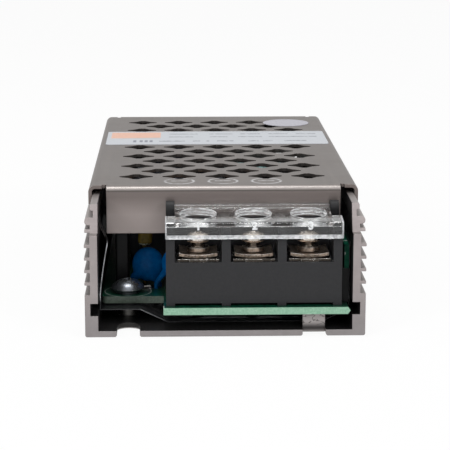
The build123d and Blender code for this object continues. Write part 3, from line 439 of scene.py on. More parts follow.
def cover_finish():
    """The sheet cover: a painted highlight along its folds, painted light and shade on its lip,
    painted shade on its vent walls, and three worn printed rings at its front.
    """
    finish, tree, shader, under = aluminium_finish(
        "cover_sheet", tone(126, 120, 117), tone(170, 164, 160), 0.34, 0.55, 1500.0, 0.5)
    shader.inputs["Specular IOR Level"].default_value = 0.2
    shader.inputs["Specular Tint"].default_value = (0.35, 0.35, 0.35, 1.0)
    _, lengthwise, upwards = facing(tree)
    lengthwise = unsigned(tree, lengthwise)
    # Painted light and shade on the lip: its front faces are painted paler than the top, and
    # darker just under the fold.
    on_lip = stretch(tree, lengthwise, 0.75, 0.95)
    lip = blend_colour(tree, ramp(tree, spot(tree)[2], LIP_TOP, LIP_FOOT),
                       tone(118, 109, 106), tone(156, 146, 143))
    under = blend_colour(tree, on_lip, under, lip, 0.85)
    # Painted highlight along the folds.
    fold_highlight = product(tree, stretch(tree, lengthwise, 0.1, 0.34),
                      stretch(tree, upwards, 0.22, 0.46))
    under = blend_colour(tree, fold_highlight, under, tone(150, 144, 141), 0.9)
    # Painted shade on the walls of the vents.
    vent_shade = product(tree, field(tree, (0.0, 0.0), VENTED_HALF),
                        stretch(tree, unsigned(tree, upwards), 0.5, 0.3))
    under = blend_colour(tree, vent_shade, under, tone(74, 70, 68))
    worn = stretch(tree, effect(tree, SPECKLE, Fineness=700.0, Softness=0.7), 0.36, 0.52)
    for column in RING_COLUMNS:
        outer = ring(tree, (column, RING_ROW), RING_RADIUS, RING_LINE)
        stroke = field(tree, (column, STROKE_ROW), STROKE_HALF)
        drawn = maths(tree, "MAXIMUM", outer, product(tree, stroke, 0.8))
        under = blend_colour(tree, product(tree, drawn, worn), under, tone(226, 226, 228), 0.8)
    tree.links.new(under, shader.inputs["Base Color"])
    return finish


# Rows of the label's bars: height on the label, half height, then middle and half width of each
LABEL_ROWS = (
    (20.5, 0.62, ((-8.8, 3.9), (1.3, 3.2), (9.2, 2.7), (16.7, 2.7), (24.2, 2.7))),
    (15.7, 0.62, ((-9.4, 3.3), (0.6, 2.4), (9.0, 3.2), (17.4, 3.4), (23.6, 3.2))),
    (8.7, 0.8, ((-11.8, 3.4), (-5.4, 1.0), (-2.4, 0.4), (2.2, 2.2), (9.6, 1.4), (13.4, 1.3),
                (20.6, 3.0))),
)
HEAVY_COLUMNS, HEAVY_ROW, HEAVY_HALF = (-21.6, -19.9, -18.6, -17.3), 8.7, (0.5, 1.7)
ORANGE_MIDDLE, ORANGE_HALF = (-21.4, 18.6), (6.6, 4.9)
ORANGE_FOOT, ORANGE_SLOPE = 15.9, 0.09
SHADE_MIDDLE, SHADE_HALF = (-20.6, 13.9), (6.0, 0.6)


def label_finish():
    """The rating label: a plain pale field, one orange block and rows of faint grey bars."""
    colour = tone(190, 194, 199)
    finish, tree, shader = new_finish("label_film", colour, 0.6, Specular_IOR_Level=0.3)
    grain = effect(tree, SPECKLE, Fineness=1500.0, Softness=0.5)
    under = blend_colour(tree, stretch(tree, grain, 0.3, 0.7, 0.0, 0.3), colour,
                         tone(199, 200, 204))
    shade = field(tree, SHADE_MIDDLE, SHADE_HALF, 0.5)
    under = blend_colour(tree, shade, under, tone(150, 140, 134), 0.4)
    across, along, _ = spot(tree)
    slant = maths(tree, "MULTIPLY_ADD", across, ORANGE_SLOPE, ORANGE_FOOT * MM)
    above = maths(tree, "DIVIDE", maths(tree, "SUBTRACT", along, slant), 0.1 * MM, clamp=True)
    block = product(tree, field(tree, ORANGE_MIDDLE, ORANGE_HALF), above)
    orange = blend_colour(tree, stretch(tree, grain, 0.4, 0.6, 0.0, 0.5), tone(218, 174, 154),
                          tone(224, 190, 172))
    under = blend_colour(tree, block, under, orange)
    strokes = put(tree, "ShaderNodeTexNoise", {"Vector": object_place(tree), "Scale": 1150.0})
    broken = stretch(tree, strokes.outputs["Fac"], 0.34, 0.48)
    for row, half, groups in LABEL_ROWS:
        for middle, reach in groups:
            bar = product(tree, field(tree, (middle, row), (reach, half)), broken)
            under = blend_colour(tree, bar, under, tone(118, 120, 128), 0.7)
    for column in HEAVY_COLUMNS:
        heavy = field(tree, (column, HEAVY_ROW), HEAVY_HALF, 0.2)
        under = blend_colour(tree, heavy, under, tone(76, 80, 98), 0.65)
    tree.links.new(under, shader.inputs["Base Color"])
    return finish


LEGEND_MIDDLE, LEGEND_RADIUS, LEGEND_LINE = (-21.9, -54.1), 5.3, 0.15
TAB_LINE_MIDDLE, TAB_LINE_HALF = (-13.62, -69.0), (0.09, 1.2)
TAB_START = (59.4, 60.0)  # how far from the middle the board's tabs begin


def board_finish():
    """Solder mask over copper tracks, bare laminate at the cut edges, a white legend ring."""
    mask_green = tone(6, 46, 34)
    finish, tree, shader = new_finish("board_laminate", mask_green, 0.32, Coat_Weight=0.3)
    copper = effect(tree, COPPER_TRACKS, Fineness=330.0, Gap=0.06)
    tracked = blend_colour(tree, copper, mask_green, tone(12, 78, 54), 0.45)
    legend = ring(tree, LEGEND_MIDDLE, LEGEND_RADIUS, LEGEND_LINE)
    printed = blend_colour(tree, legend, tracked, tone(200, 210, 204), 0.75)
    tab_line = field(tree, TAB_LINE_MIDDLE, TAB_LINE_HALF, 0.04)
    printed = blend_colour(tree, tab_line, printed, tone(205, 214, 208))
    level = stretch(tree, unsigned(tree, facing(tree)[2]), 0.3, 0.6)
    weave = effect(tree, DRAWN_LINES, Across=2600.0, Along=2600.0, Contrast=1.6)
    laminate = blend_colour(tree, weave, tone(58, 68, 60), tone(96, 110, 98))
    pale = blend_colour(tree, weave, tone(104, 150, 122), tone(150, 188, 164))
    on_tab = ramp(tree, unsigned(tree, spot(tree)[1]), *TAB_START)
    cut = blend_colour(tree, on_tab, laminate, pale)
    tree.links.new(blend_colour(tree, level, cut, printed), shader.inputs["Base Color"])
    tree.links.new(stretch(tree, level, 0.0, 1.0, 0.75, 0.3), shader.inputs["Roughness"])
    relief(tree, shader, copper, 0.3, 0.04)
    return finish


def upright_board_finish():
    """The upright control board: dark green all over, with small pale soldered spots."""
    green = tone(0, 70, 52)
    finish, tree, shader = new_finish("upright_board", green, 0.4, Specular_IOR_Level=0.1)
    dots = put(tree, "ShaderNodeTexVoronoi", {"Vector": object_place(tree), "Scale": 520.0})
    soldered = stretch(tree, dots.outputs["Distance"], 0.26, 0.2)
    copper = effect(tree, COPPER_TRACKS, Fineness=400.0, Gap=0.05)
    tracked = blend_colour(tree, copper, green, tone(10, 96, 70), 0.5)
    tree.links.new(blend_colour(tree, soldered, tracked, tone(206, 214, 208), 0.8),
                   shader.inputs["Base Color"])
    relief(tree, shader, copper, 0.3, 0.04)
    return finish


FILM_HALF = 63.0          # half of the film's length
CRINKLE_LEFT, CRINKLE_RIGHT = -19.2, -13.4
SHELF_BEND = (6.2, 7.2)   # where the front edge leaves the shelf under the board for the wall
WALL_FADE = (19.4, 20.4)  # where the painted glint on the wall's edge ends
RIGHT_FADE = (26.0, 26.5)
FOLD_HEIGHT, FOLD_START = (19.8, 20.6), (-44.0, -47.0)


def film_finish():
    """Smoky insulation film with a painted glint along its front edge, and gentle ripples."""
    smoke = tone(20, 20, 23)
    finish, tree, shader = new_finish("insulation_sheet", smoke, 0.34, Coat_Weight=0.08,
                                      Specular_IOR_Level=0.3)
    across, along, height = spot(tree)
    at_end = ramp(tree, unsigned(tree, along), FILM_HALF - 0.16, FILM_HALF - 0.04)
    crinkle = band(tree, across, CRINKLE_LEFT, CRINKLE_RIGHT, 0.6, 0.6)
    low_part = stretch(tree, crinkle, 0.0, 1.0, 0.07, 0.34)
    share = maths(tree, "MULTIPLY_ADD", ramp(tree, height, *SHELF_BEND),
                  maths(tree, "SUBTRACT", 1.0, low_part), low_part)
    share = product(tree, share, ramp(tree, height, *WALL_FADE, 1.0, 0.06))
    share = product(tree, share, ramp(tree, across, *RIGHT_FADE, 1.0, 0.2))
    ragged = effect(tree, SPECKLE, Fineness=700.0, Softness=0.7)
    share = product(tree, share, stretch(tree, ragged, 0.3, 0.62, 0.3, 1.0))
    # Painted glint: the film's front edge is painted near white.
    edge_glint = product(tree, at_end, share)
    tree.links.new(blend_colour(tree, edge_glint, smoke, tone(214, 216, 220)),
                   shader.inputs["Base Color"])
    folded_back = product(tree, ramp(tree, height, *FOLD_HEIGHT),
                          ramp(tree, along, *FOLD_START))
    cover = maths(tree, "MULTIPLY_ADD", folded_back, -0.7, 0.88)
    tree.links.new(maths(tree, "MAXIMUM", cover, edge_glint), shader.inputs["Alpha"])
    ripple = effect(tree, HANDLING, Patch_Size=90.0, Amount=1.0)
    relief(tree, shader, ripple, 0.25, 0.4)
    return finish


def clear_finish():
    """Clear moulded plastic with faint flow ripples and scuffs."""
    finish, tree, shader = new_finish(
        "clear_moulding", (0.96, 0.97, 0.97, 1.0), 0.06, IOR=1.45, Transmission_Weight=1.0)
    scuffs = effect(tree, HANDLING, Patch_Size=260.0, Amount=1.0)
    tree.links.new(stretch(tree, scuffs, 0.0, 1.0, 0.03, 0.16), shader.inputs["Roughness"])
    edges = place_group(tree, EDGE_WEAR_AND_GLINT, Width=0.3 * MM, Amount=0.0)
    relief(tree, shader, scuffs, 0.06, 0.1, edges.outputs["Normal"])
    return finish


def frosted_finish(name, shade, cover, streak=0.0):
    """The whitish look of a clear moulding: painted light on its cut and moulded edges, and its
    pale numerals; even or streaked.
    """
    finish, tree, shader = new_finish(name, shade, 0.3, Coat_Weight=0.4)
    speck = effect(tree, SPECKLE, Fineness=1400.0, Softness=0.6)
    pale = blend_colour(tree, stretch(tree, speck, 0.3, 0.7), shade, tone(236, 238, 240))
    tree.links.new(pale, shader.inputs["Base Color"])
    whole = stretch(tree, speck, 0.35, 0.65, cover - 0.15, cover + 0.12)
    if streak:
        layers = effect(tree, DRAWN_LINES, Across=260.0, Along=260.0, Contrast=2.4)
        bands = put(tree, "ShaderNodeTexWave", {
            "Vector": object_place(tree), "Scale": 420.0, "Distortion": 5.0, "Detail": 2.0,
            "Detail Scale": 1.4}, wave_type="BANDS", bands_direction="Z")
        broken = product(tree, bands.outputs["Fac"], layers)
        thin = stretch(tree, broken, 0.1, 0.5, streak, 0.0)
        whole = maths(tree, "SUBTRACT", whole, thin, clamp=True)
    tree.links.new(whole, shader.inputs["Alpha"])
    relief(tree, shader, speck, 0.2, 0.03)
    return finish


STICKER_MIDDLE, RIM_RADIUS, RIM_LINE = (20.1, 40.6), 5.7, 0.2


def sticker_finish():
    """Round silvery sticker with a faint printed rim."""
    finish, tree, shader = new_finish("sticker_foil", tone(182, 181, 190), 0.45, 0.3)
    speck = effect(tree, SPECKLE, Fineness=1800.0, Softness=0.6)
    base = blend_colour(tree, speck, tone(157, 156, 166), tone(181, 180, 188))
    rim = ring(tree, STICKER_MIDDLE, RIM_RADIUS, RIM_LINE)
    tree.links.new(blend_colour(tree, rim, base, tone(150, 148, 166), 0.4),
                   shader.inputs["Base Color"])
    return finish


TONGUE_MIDDLE, TONGUE_HALF, TONGUE_GAP_HALF = (19.7, -69.0), (2.5, 3.0), (2.6, 3.0)
TONGUE_FOOT, TONGUE_TOP, TONGUE_BEND = 1.8, 5.2, (2.7, 1.5)
CREASE_SCALE = (430.0, 430.0, 950.0)
SLOT_MIDDLE, SLOT_HALF, SLOT_RIM = (-21.8, -64.0), (3.2, 5.2), (1.6, 1.4)
END_PALER = (2.0, 12.0)  # the sawn ends grow paler over these heights
FLOOR_TOP, WALL_INSIDE = 1.34, 28.22
GROOVE_FOOT, GROOVE_TOP, GROOVE_DEEP = 4.6, 7.8, 30.0


def case_finish():
    """The extrusion: warm grey, paler on its sawn end faces, with painted shade making it nearly
    black inside.
    """
    finish, tree, shader, under = aluminium_finish(
        "case_extrusion", tone(136, 130, 128), tone(184, 177, 174), 0.45, 0.6, 1300.0, 0.35)
    across, _, height = spot(tree)
    _, lengthwise, upwards = facing(tree)
    sawn = stretch(tree, unsigned(tree, lengthwise), 0.7, 0.95)
    cuts = effect(tree, DRAWN_LINES, Across=400.0, Along=4000.0, Contrast=1.6)
    low_face = blend_colour(tree, cuts, tone(132, 127, 127), tone(143, 138, 138))
    high_face = blend_colour(tree, cuts, tone(147, 139, 138), tone(160, 152, 151))
    end_face = blend_colour(tree, ramp(tree, height, *END_PALER), low_face, high_face)

    # The tongue's end: brighter, with dark creases, and painted shade at its foot where it bends
    on_tongue = product(tree, field(tree, TONGUE_MIDDLE, TONGUE_HALF),
                        band(tree, height, TONGUE_FOOT, TONGUE_TOP, 0.4, 0.2))
    drawn = put(tree, "ShaderNodeVectorMath", {
        0: object_place(tree), 1: CREASE_SCALE}, operation="MULTIPLY")
    wrinkle = put(tree, "ShaderNodeTexNoise", {
        "Vector": drawn.outputs[0], "Scale": 1.0, "Detail": 2.0})
    split = unsigned(tree, maths(tree, "SUBTRACT", wrinkle.outputs["Fac"], 0.5))
    creased = product(tree, stretch(tree, split, 0.036, 0.012), on_tongue)
    end_face = blend_colour(tree, on_tongue, end_face, tone(190, 184, 180), 0.25)
    end_face = blend_colour(tree, creased, end_face, tone(44, 40, 38), 0.75)
    # Painted shade in the bend at the tongue's foot.
    bend_shade = product(tree, field(tree, TONGUE_MIDDLE, TONGUE_GAP_HALF),
                        ramp(tree, height, *TONGUE_BEND))
    end_face = blend_colour(tree, bend_shade, end_face, tone(30, 27, 26), 0.9)
    skin = blend_colour(tree, sawn, under, end_face)

    # Painted shade: the fixing slot's wall, then the insides of the walls, the floor and the
    # grooves
    slot_shade = product(tree, field(tree, SLOT_MIDDLE, SLOT_HALF),
                        stretch(tree, unsigned(tree, upwards), 0.7, 0.5))
    slot_shade = product(tree, slot_shade, ramp(tree, height, *SLOT_RIM))
    # Painted shade on the fixing slot's end wall.
    skin = blend_colour(tree, slot_shade, skin, tone(40, 38, 37))
    aside = unsigned(tree, across)
    lined = product(tree, ramp(tree, aside, WALL_INSIDE, WALL_INSIDE - 0.06),
                    ramp(tree, height, FLOOR_TOP - 0.06, FLOOR_TOP))
    groove_shade = product(tree, ramp(tree, aside, GROOVE_DEEP, GROOVE_DEEP - 0.1),
                     band(tree, height, GROOVE_FOOT, GROOVE_TOP, 0.1, 0.1))
    dark = product(tree, maths(tree, "MAXIMUM", lined, groove_shade),
                   maths(tree, "SUBTRACT", 1.0, sawn))
    # Painted shade, nearly black, on the insides of the walls, the floor and the board grooves.
    skin = blend_colour(tree, dark, skin, tone(16, 16, 18), 0.96)
    tree.links.new(skin, shader.inputs["Base Color"])
    return finish


def finishes_by_slot():
    """The finish of each material slot of the CAD."""
    moulded = {
        "box_black": (tone(9, 9, 11), 0.5, 0.3), "box_yellow": (tone(232, 160, 44), 0.4, 0.5),
        "box_brown": (tone(104, 58, 34), 0.4, 0.5), "box_blue": (tone(24, 92, 168), 0.4, 0.5),
        "pad_grey": (tone(150, 154, 160), 0.85, 0.5), "ferrite": (tone(66, 66, 70), 0.7, 0.5),
        "core_powder": (tone(196, 186, 92), 0.6, 0.5),
        "rotor_white": (tone(228, 228, 222), 0.45, 0.5),
        "lamp_green": (tone(120, 210, 130), 0.3, 0.5),
        "can_sleeve": (tone(40, 44, 54), 0.3, 0.5),
    }
    made = {slot: moulded_finish(f"{slot}_finish", *look) for slot, look in moulded.items()}
    made["block_black"] = block_finish()
    made["nickel_screw"] = plated_finish(
        "screw_plating", tone(138, 142, 148), 0.27, tone(92, 96, 104), 0.2, 0.95, 0.9)
    # The terminal screws get painted shade below 19.9 mm, under their heads.
    made["terminal_nickel"] = plated_finish(
        "terminal_plating", tone(220, 212, 202), 0.2, tone(128, 116, 104), metal=0.96,
        shaded_below=19.9)
    made["standoff_steel"] = plated_finish(
        "standoff_plating", tone(150, 148, 144), 0.3, tone(100, 98, 94))
    made["clip_steel"] = plated_finish(
        "clip_steel", tone(130, 130, 132), 0.34, tone(84, 84, 86))
    made["copper_wire"] = wound_finish(
        "enamelled_wire", tone(160, 92, 52), tone(76, 38, 20), 330.0)
    # The wound tape is painted paler than its own teal, partly a painted highlight where it shows
    # through the vents.
    made["tape_teal"] = wound_finish(
        "wound_tape", tone(206, 238, 238), tone(164, 214, 212), 90.0)
    made["coating_blue"] = dipped_finish("dipped_blue", tone(0, 94, 158), tone(0, 66, 124))
    made["coating_olive"] = dipped_finish(
        "dipped_olive", tone(128, 110, 52), tone(84, 74, 30), (15.5, 16.3))
    made["case_aluminium"] = case_finish()
    made["cover_aluminium"] = cover_finish()
    made["label_white"] = label_finish()
    made["sticker_silver"] = sticker_finish()
    made["board_green"] = board_finish()
    made["clear_film"] = film_finish()
    made["clear_plastic"] = clear_finish()
    return made


def finishes_by_node():
    """The finishes of single nodes that look unlike the rest of their slot."""
    terminal_metal = {
        "terminal_plates": plated_finish("plate_plating", tone(74, 68, 62), 0.24,
                                         tone(36, 32, 28), 0.14, 1.0, 0.9),
        "clamp_washers": plated_finish("washer_plating", tone(158, 142, 128), 0.3,
                                       tone(44, 37, 32), 0.18, 1.0, mottle=0.75),
        "lock_washers": plated_finish("lock_washer_plating", tone(176, 160, 146), 0.42,
                                      tone(70, 61, 54), 0.2, 1.0, mottle=0.5),
    }
    made = {f"{end}_{piece}": finish for piece, finish in terminal_metal.items()
            for end in ("input", "output")}
    made["control_board"] = upright_board_finish()
    return made


finishes = finishes_by_slot()
own_finishes = finishes_by_node()
for entry in frame["record"]["subparts"]:
    skins = parts[entry["node"]].data.materials
    finish = own_finishes.get(entry["node"], finishes[entry["material_slot"]])
    for index in range(len(skins)):
        skins[index] = finish
    if not skins:
        skins.append(finish)
# Painted light: the whitish edges and bores stand in for the light that the clear covers gather
# and refract.
edge_white = frosted_finish("painted_light_edge", tone(196, 198, 201), 0.56)
bore_white = frosted_finish("bored_edge", tone(240, 241, 242), 0.8, 0.6)
numeral_white = frosted_finish("moulded_numeral", tone(226, 228, 230), 0.85)


# Shapes, modelled in millimetres

WELD = 0.0005            # corners closer than this are one
SHARP_ANGLE = 38.0
WING_TAPER = (0.3, 0.6, 1.0)


def lathe(profile, steps=48):
    """A solid turned about the vertical from a profile of (radius, height) pairs."""
    shape = bmesh.new()
    points = [shape.verts.new((radius, 0.0, height)) for radius, height in profile]
    lines = [shape.edges.new(pair) for pair in zip(points, points[1:])]
    bmesh.ops.spin(shape, geom=points + lines, cent=(0, 0, 0), axis=(0, 0, 1), angle=2 * pi,
                   steps=steps, use_merge=True)
    bmesh.ops.remove_doubles(shape, verts=shape.verts, dist=WELD)
    bmesh.ops.recalc_face_normals(shape, faces=shape.faces)
    return shape


def held(shape, name):
    """Puts a shape into the scene as an object, for a modifier to use."""
    mesh = bpy.data.meshes.new(name)
    shape.to_mesh(mesh)
    shape.free()
    holder = bpy.data.objects.new(name, mesh)
    scene.collection.objects.link(holder)
    return holder


def worked(shape, modifiers):
    """The shape after modifiers, given as (kind, settings), are applied to it."""
    holder = held(shape, "blank")
    for kind, settings in modifiers:
        step = holder.modifiers.new(kind.lower(), kind)
        for label, value in settings.items():
            setattr(step, label, value)
    bpy.context.view_layer.update()
    seen = holder.evaluated_get(bpy.context.evaluated_depsgraph_get())
    done = bpy.data.meshes.new_from_object(seen)
    result = bmesh.new()
    result.from_mesh(done)
    for leftover in (done, holder.data):
        bpy.data.meshes.remove(leftover)
    return result


def wing(length, width, depth, top, turn):
    """One tapering wing of a cross recess, as a tool for cutting."""
    shape = bmesh.new()
    bmesh.ops.create_cube(shape, size=1.0)
    bmesh.ops.scale(shape, vec=(length, width, 2 * depth), verts=shape.verts)
    foot = [corner for corner in shape.verts if corner.co.z < 0]
    bmesh.ops.scale(shape, vec=WING_TAPER, verts=foot)
    bmesh.ops.rotate(shape, cent=(0, 0, 0), matrix=Matrix.Rotation(turn, 3, "Z"),
                     verts=shape.verts)
    bmesh.ops.translate(shape, vec=(0, 0, top), verts=shape.verts)
    return held(shape, "wing")


def cross_headed(profile, length, width, depth, top):
    """A turned screw with a cross recess in its head."""
    wings = [wing(length, width, depth, top, turn) for turn in (0.0, pi / 2)]
    cuts = [("BOOLEAN", {"operation": "DIFFERENCE", "solver": "EXACT", "object": tool})
            for tool in wings]
    shape = worked(lathe(profile), cuts)
    for tool in wings:
        bpy.data.meshes.remove(tool.data)
    return shape


def repeated(shape, places, turn):
    """One shape set at each place, turned a little further each time."""
    many = bmesh.new()
    for index, place in enumerate(places):
        one = shape.copy()
        bmesh.ops.rotate(one, cent=(0, 0, 0), verts=one.verts,
                         matrix=Matrix.Rotation(turn * (index + 1), 3, "Z"))
        bmesh.ops.translate(one, vec=place, verts=one.verts)
        mesh = bpy.data.meshes.new("one")
        one.to_mesh(mesh)
        one.free()
        many.from_mesh(mesh)
        bpy.data.meshes.remove(mesh)
    shape.free()
    return many


def new_piece(shape, name, body, finish, node=None):
    """Turns a shape into a piece in metres that rides on its body."""
    bmesh.ops.scale(shape, vec=(MM, MM, MM), verts=shape.verts)
    mesh = bpy.data.meshes.new(name)
    shape.to_mesh(mesh)
    shape.free()
    for face in mesh.polygons:
        face.use_smooth = True
    mesh.set_sharp_from_angle(angle=radians(SHARP_ANGLE))
    mesh.materials.clear()
    mesh.materials.append(finish)
    piece = bpy.data.objects.new(name, mesh)
    scene.collection.objects.link(piece)
    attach(piece, body)
    if node:
        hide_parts(node)
    return piece


def merged_copy(node):
    """A copy of a node's shape in millimetres, with its loose triangles joined."""
    shape = bmesh.new()
    shape.from_mesh(parts[node].data)
    bmesh.ops.scale(shape, vec=(METRE, METRE, METRE), verts=shape.verts)
    bmesh.ops.remove_doubles(shape, verts=shape.verts, dist=WELD)
    return shape


def bisected(shape, point, direction, clear=False):
    """Cuts a shape along a plane, and with clear drops the part beyond it."""
    everything = shape.verts[:] + shape.edges[:] + shape.faces[:]
    bmesh.ops.bisect_plane(shape, geom=everything, plane_co=point, plane_no=direction,
                           clear_outer=clear)


def sliced(shape, point, direction):
    """Keeps the part of a shape behind a plane, and closes the cut."""
    bisected(shape, point, direction, clear=True)
    open_edges = [edge for edge in shape.edges if edge.is_boundary]
    bmesh.ops.holes_fill(shape, edges=open_edges, sides=0)


# Screws

def screw_places(node, reach, poles):
    """Where the screws of one terminal block stand, in millimetres."""
    low, high = (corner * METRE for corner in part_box(node))
    first, last = low.x + reach, high.x - reach
    middle = (low.y + high.y) / 2
    return [(first + (last - first) * index / (poles - 1), middle, 0.0)
            for index in range(poles)]


TERMINAL_PROFILE = (
    (0.0, 21.98), (1.1, 21.96), (1.9, 21.82), (2.4, 21.58), (2.72, 21.25), (2.88, 20.9),
    (2.9, 20.65), (2.78, 20.3), (2.5, 20.02), (1.8, 19.98), (1.75, 19.8), (1.45, 19.62),
    (1.7, 19.44), (1.42, 19.26), (1.7, 19.08), (1.7, 18.97), (2.25, 18.94), (2.32, 18.86),
    (2.25, 18.77), (1.65, 18.74), (1.65, 11.05), (0.0, 11.05),
)
TERMINAL_RECESS = {"length": 3.5, "width": 0.85, "depth": 1.2, "top": 22.05}
TERMINAL_REACH = 2.9     # from a screw's axis to the side of its head
BOARD_PROFILE = (
    (0.0, 9.5), (0.9, 9.46), (1.9, 9.18), (2.8, 8.66), (3.5, 8.05), (3.82, 7.55), (3.78, 7.3),
    (3.3, 7.02), (2.9, 6.85), (2.85, 6.47), (1.43, 6.46), (1.43, 1.58), (0.0, 1.58),
)
BOARD_RECESS = {"length": 3.6, "width": 0.95, "depth": 1.3, "top": 9.5}
BOARD_REACH = 3.65

terminal_places = {}
for end, poles in (("input", 3), ("output", 4)):
    node = f"{end}_terminal_screws"
    terminal_places[end] = screw_places(node, TERMINAL_REACH, poles)
    screw = cross_headed(TERMINAL_PROFILE, **TERMINAL_RECESS)
    new_piece(repeated(screw, terminal_places[end], 0.7), f"{end}_turned_screws",
              "supply", finishes["terminal_nickel"], node)

low, high = (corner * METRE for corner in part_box("board_screws"))
board_places = [(low.x + BOARD_REACH, low.y + BOARD_REACH, 0.0),
                (high.x - BOARD_REACH, high.y - BOARD_REACH, 0.0)]
board_screw = cross_headed(BOARD_PROFILE, **BOARD_RECESS)
new_piece(repeated(board_screw, board_places, 0.5), "domed_screws", "supply",
          finishes["nickel_screw"], "board_screws")


# Dipped parts

def dipped_skin(shape, grain, passes):
    """The pieces of a shape run together into one smooth skin of resin."""
    skin = worked(shape, [("REMESH", {"mode": "VOXEL", "voxel_size": grain}),
                          ("SMOOTH", {"factor": 0.5, "iterations": passes})])
    bmesh.ops.recalc_face_normals(skin, faces=skin.faces)
    return skin


def dipped_disc(name, node, centre, radius, tall, thickness, legs):
    """A disc capacitor whose resin runs down legs of (x, z, radius) stations at its middle."""
    shape = bmesh.new()
    flattened = Matrix.Diagonal((radius, thickness / 2, tall, 1.0))
    bmesh.ops.create_uvsphere(shape, u_segments=48, v_segments=32, radius=1.0,
                              matrix=Matrix.Translation(centre) @ flattened)
    for leg in legs:
        for (start_x, start_z, wide), (end_x, end_z, narrow) in zip(leg, leg[1:]):
            start, end = Vector((start_x, centre[1], start_z)), Vector((end_x, centre[1], end_z))
            run = end - start
            aimed = run.to_track_quat("Z", "X").to_matrix().to_4x4()
            bmesh.ops.create_cone(shape, cap_ends=True, segments=20, radius1=wide,
                                  radius2=narrow, depth=run.length,
                                  matrix=Matrix.Translation((start + end) / 2) @ aimed)
            bmesh.ops.create_icosphere(shape, subdivisions=2, radius=narrow,
                                       matrix=Matrix.Translation(end))
    new_piece(dipped_skin(shape, 0.15, 7), name, "supply",
              finishes["coating_blue"], node)


dipped_disc(
    "dipped_disc_left", "disc_capacitor_left", (-17.35, -49.6, 11.75), 3.7, 4.05, 3.3,
    [[(-18.8, 10.2, 1.45), (-20.6, 8.7, 0.95), (-21.0, 6.5, 0.5)],
     [(-16.4, 9.0, 1.3), (-15.2, 8.0, 0.8), (-14.6, 6.5, 0.5)]])
dipped_disc(
    "dipped_disc_right", "disc_capacitor_right", (-10.4, -51.8, 12.4), 3.85, 3.85, 3.0,
    [[(-12.6, 11.2, 1.2), (-14.0, 9.7, 0.72), (-15.1, 8.3, 0.6), (-15.55, 7.3, 0.52),
      (-15.5, 6.5, 0.48)],
     [(-9.4, 9.3, 1.4), (-7.9, 8.0, 0.75), (-7.4, 6.5, 0.5)]])

THERMISTOR_MIDDLE, THERMISTOR_SIZE = (-18.05, -44.6, 19.0), (3.3, 6.6, 6.6)
THERMISTOR_ROUND = 0.9
THERMISTOR_LEGS, LEG_LENGTH = ((-18.2, -47.1, 11.4), (-18.2, -42.1, 11.4)), 9.8
LEG_FOOT_RADIUS, LEG_TOP_RADIUS = 0.42, 0.5


def dipped_thermistor():
    """The olive thermistor seen on its edge, a rounded block on two legs."""
    shape = bmesh.new()
    block = Matrix.Translation(THERMISTOR_MIDDLE) @ Matrix.Diagonal((*THERMISTOR_SIZE, 1.0))
    bmesh.ops.create_cube(shape, size=1.0, matrix=block)
    bmesh.ops.bevel(shape, geom=shape.edges[:], offset=THERMISTOR_ROUND, segments=4,
                    profile=0.5, affect="EDGES", material=-1)
    for middle in THERMISTOR_LEGS:
        bmesh.ops.create_cone(shape, cap_ends=True, segments=20, radius1=LEG_FOOT_RADIUS,
                              radius2=LEG_TOP_RADIUS, depth=LEG_LENGTH,
                              matrix=Matrix.Translation(middle))
    new_piece(dipped_skin(shape, 0.16, 5), "dipped_thermistor", "supply",
              finishes["coating_olive"], "inrush_thermistor")


dipped_thermistor()


# Insulation film, leaning in at its free front corner

LEVELS = (8.0, 10.0, 12.0, 14.0, 16.0, 18.0, 20.0, 21.5, 23.0, 24.0)
STATIONS = (-62.0, -60.0, -57.5, -55.0, -52.0, -49.0, -46.0)
FREE_WALL_SIDE, FREE_WALL_FOOT = -27.0, 7.0
LEAN, LEAN_START, LEAN_RUN, LEAN_RISE = 1.85, -45.0, 18.0, 13.0
HELD_FROM, HELD_RISE = 20.0, 4.0       # the cover holds the film's top over this rise


def share_of(value):
    """A value kept between 0 and 1."""
    return min(1.0, max(0.0, value))


def leaning_film():
    """The folded film, with the free edge of its left wall sprung inwards at the front."""
    shape = merged_copy("insulation_film")
    for level in LEVELS:
        bisected(shape, (0, 0, level), (0, 0, 1))
    for station in STATIONS:
        bisected(shape, (0, station, 0), (0, 1, 0))
    for corner in shape.verts:
        if corner.co.x > FREE_WALL_SIDE or corner.co.z < FREE_WALL_FOOT:
            continue
        near = share_of((LEAN_START - corner.co.y) / LEAN_RUN)
        rise = share_of((corner.co.z - FREE_WALL_FOOT) / LEAN_RISE)
        held_back = share_of((corner.co.z - HELD_FROM) / HELD_RISE)
        lean = LEAN * near * near * (3.0 - 2.0 * near) * rise ** 1.35
        corner.co.x += lean * (1.0 - held_back)
    new_piece(shape, "folded_film", "supply", finishes["clear_film"],
              "insulation_film")


leaning_film()


# Clear covers: walls of the driver holes and edges in whitish painted light, and numerals

PLATE_SLOPE, PLATE_MIDDLE = 5.5, 25.72
SIDE_SLICE, RIM_TALL, RIM_DEEP = 0.3, 0.85, 0.35
PROUD = 0.012            # how far a slice stands out of the cover, so that it is seen
NUMERAL_HEIGHT, NUMERAL_DEPTH, NUMERAL_MIDDLE = 1.6 * MM, 0.4 * MM, 24.75 * MM
NUMERAL_ROUND = 0.06 * MM


def bored_edges(end, body, bore, turned):
    """The walls of the driver holes in whitish painted light, sloping with the plate that they go
    through.
    """
    profile = [(bore - 0.24, -1.06), (bore - 0.06, -1.1), (bore + 0.02, -0.6),
               (bore + 0.02, 0.52), (bore - 0.14, 0.5), (bore - 0.24, -1.06)]
    shape = lathe(profile)
    slope = Matrix.Rotation(radians(-PLATE_SLOPE if turned else PLATE_SLOPE), 3, "X")
    bmesh.ops.rotate(shape, cent=(0, 0, 0), matrix=slope, verts=shape.verts)
    bmesh.ops.translate(shape, vec=(0, 0, PLATE_MIDDLE), verts=shape.verts)
    new_piece(repeated(shape, terminal_places[end], 0.0), f"{end}_bored_edges",
              body, bore_white)


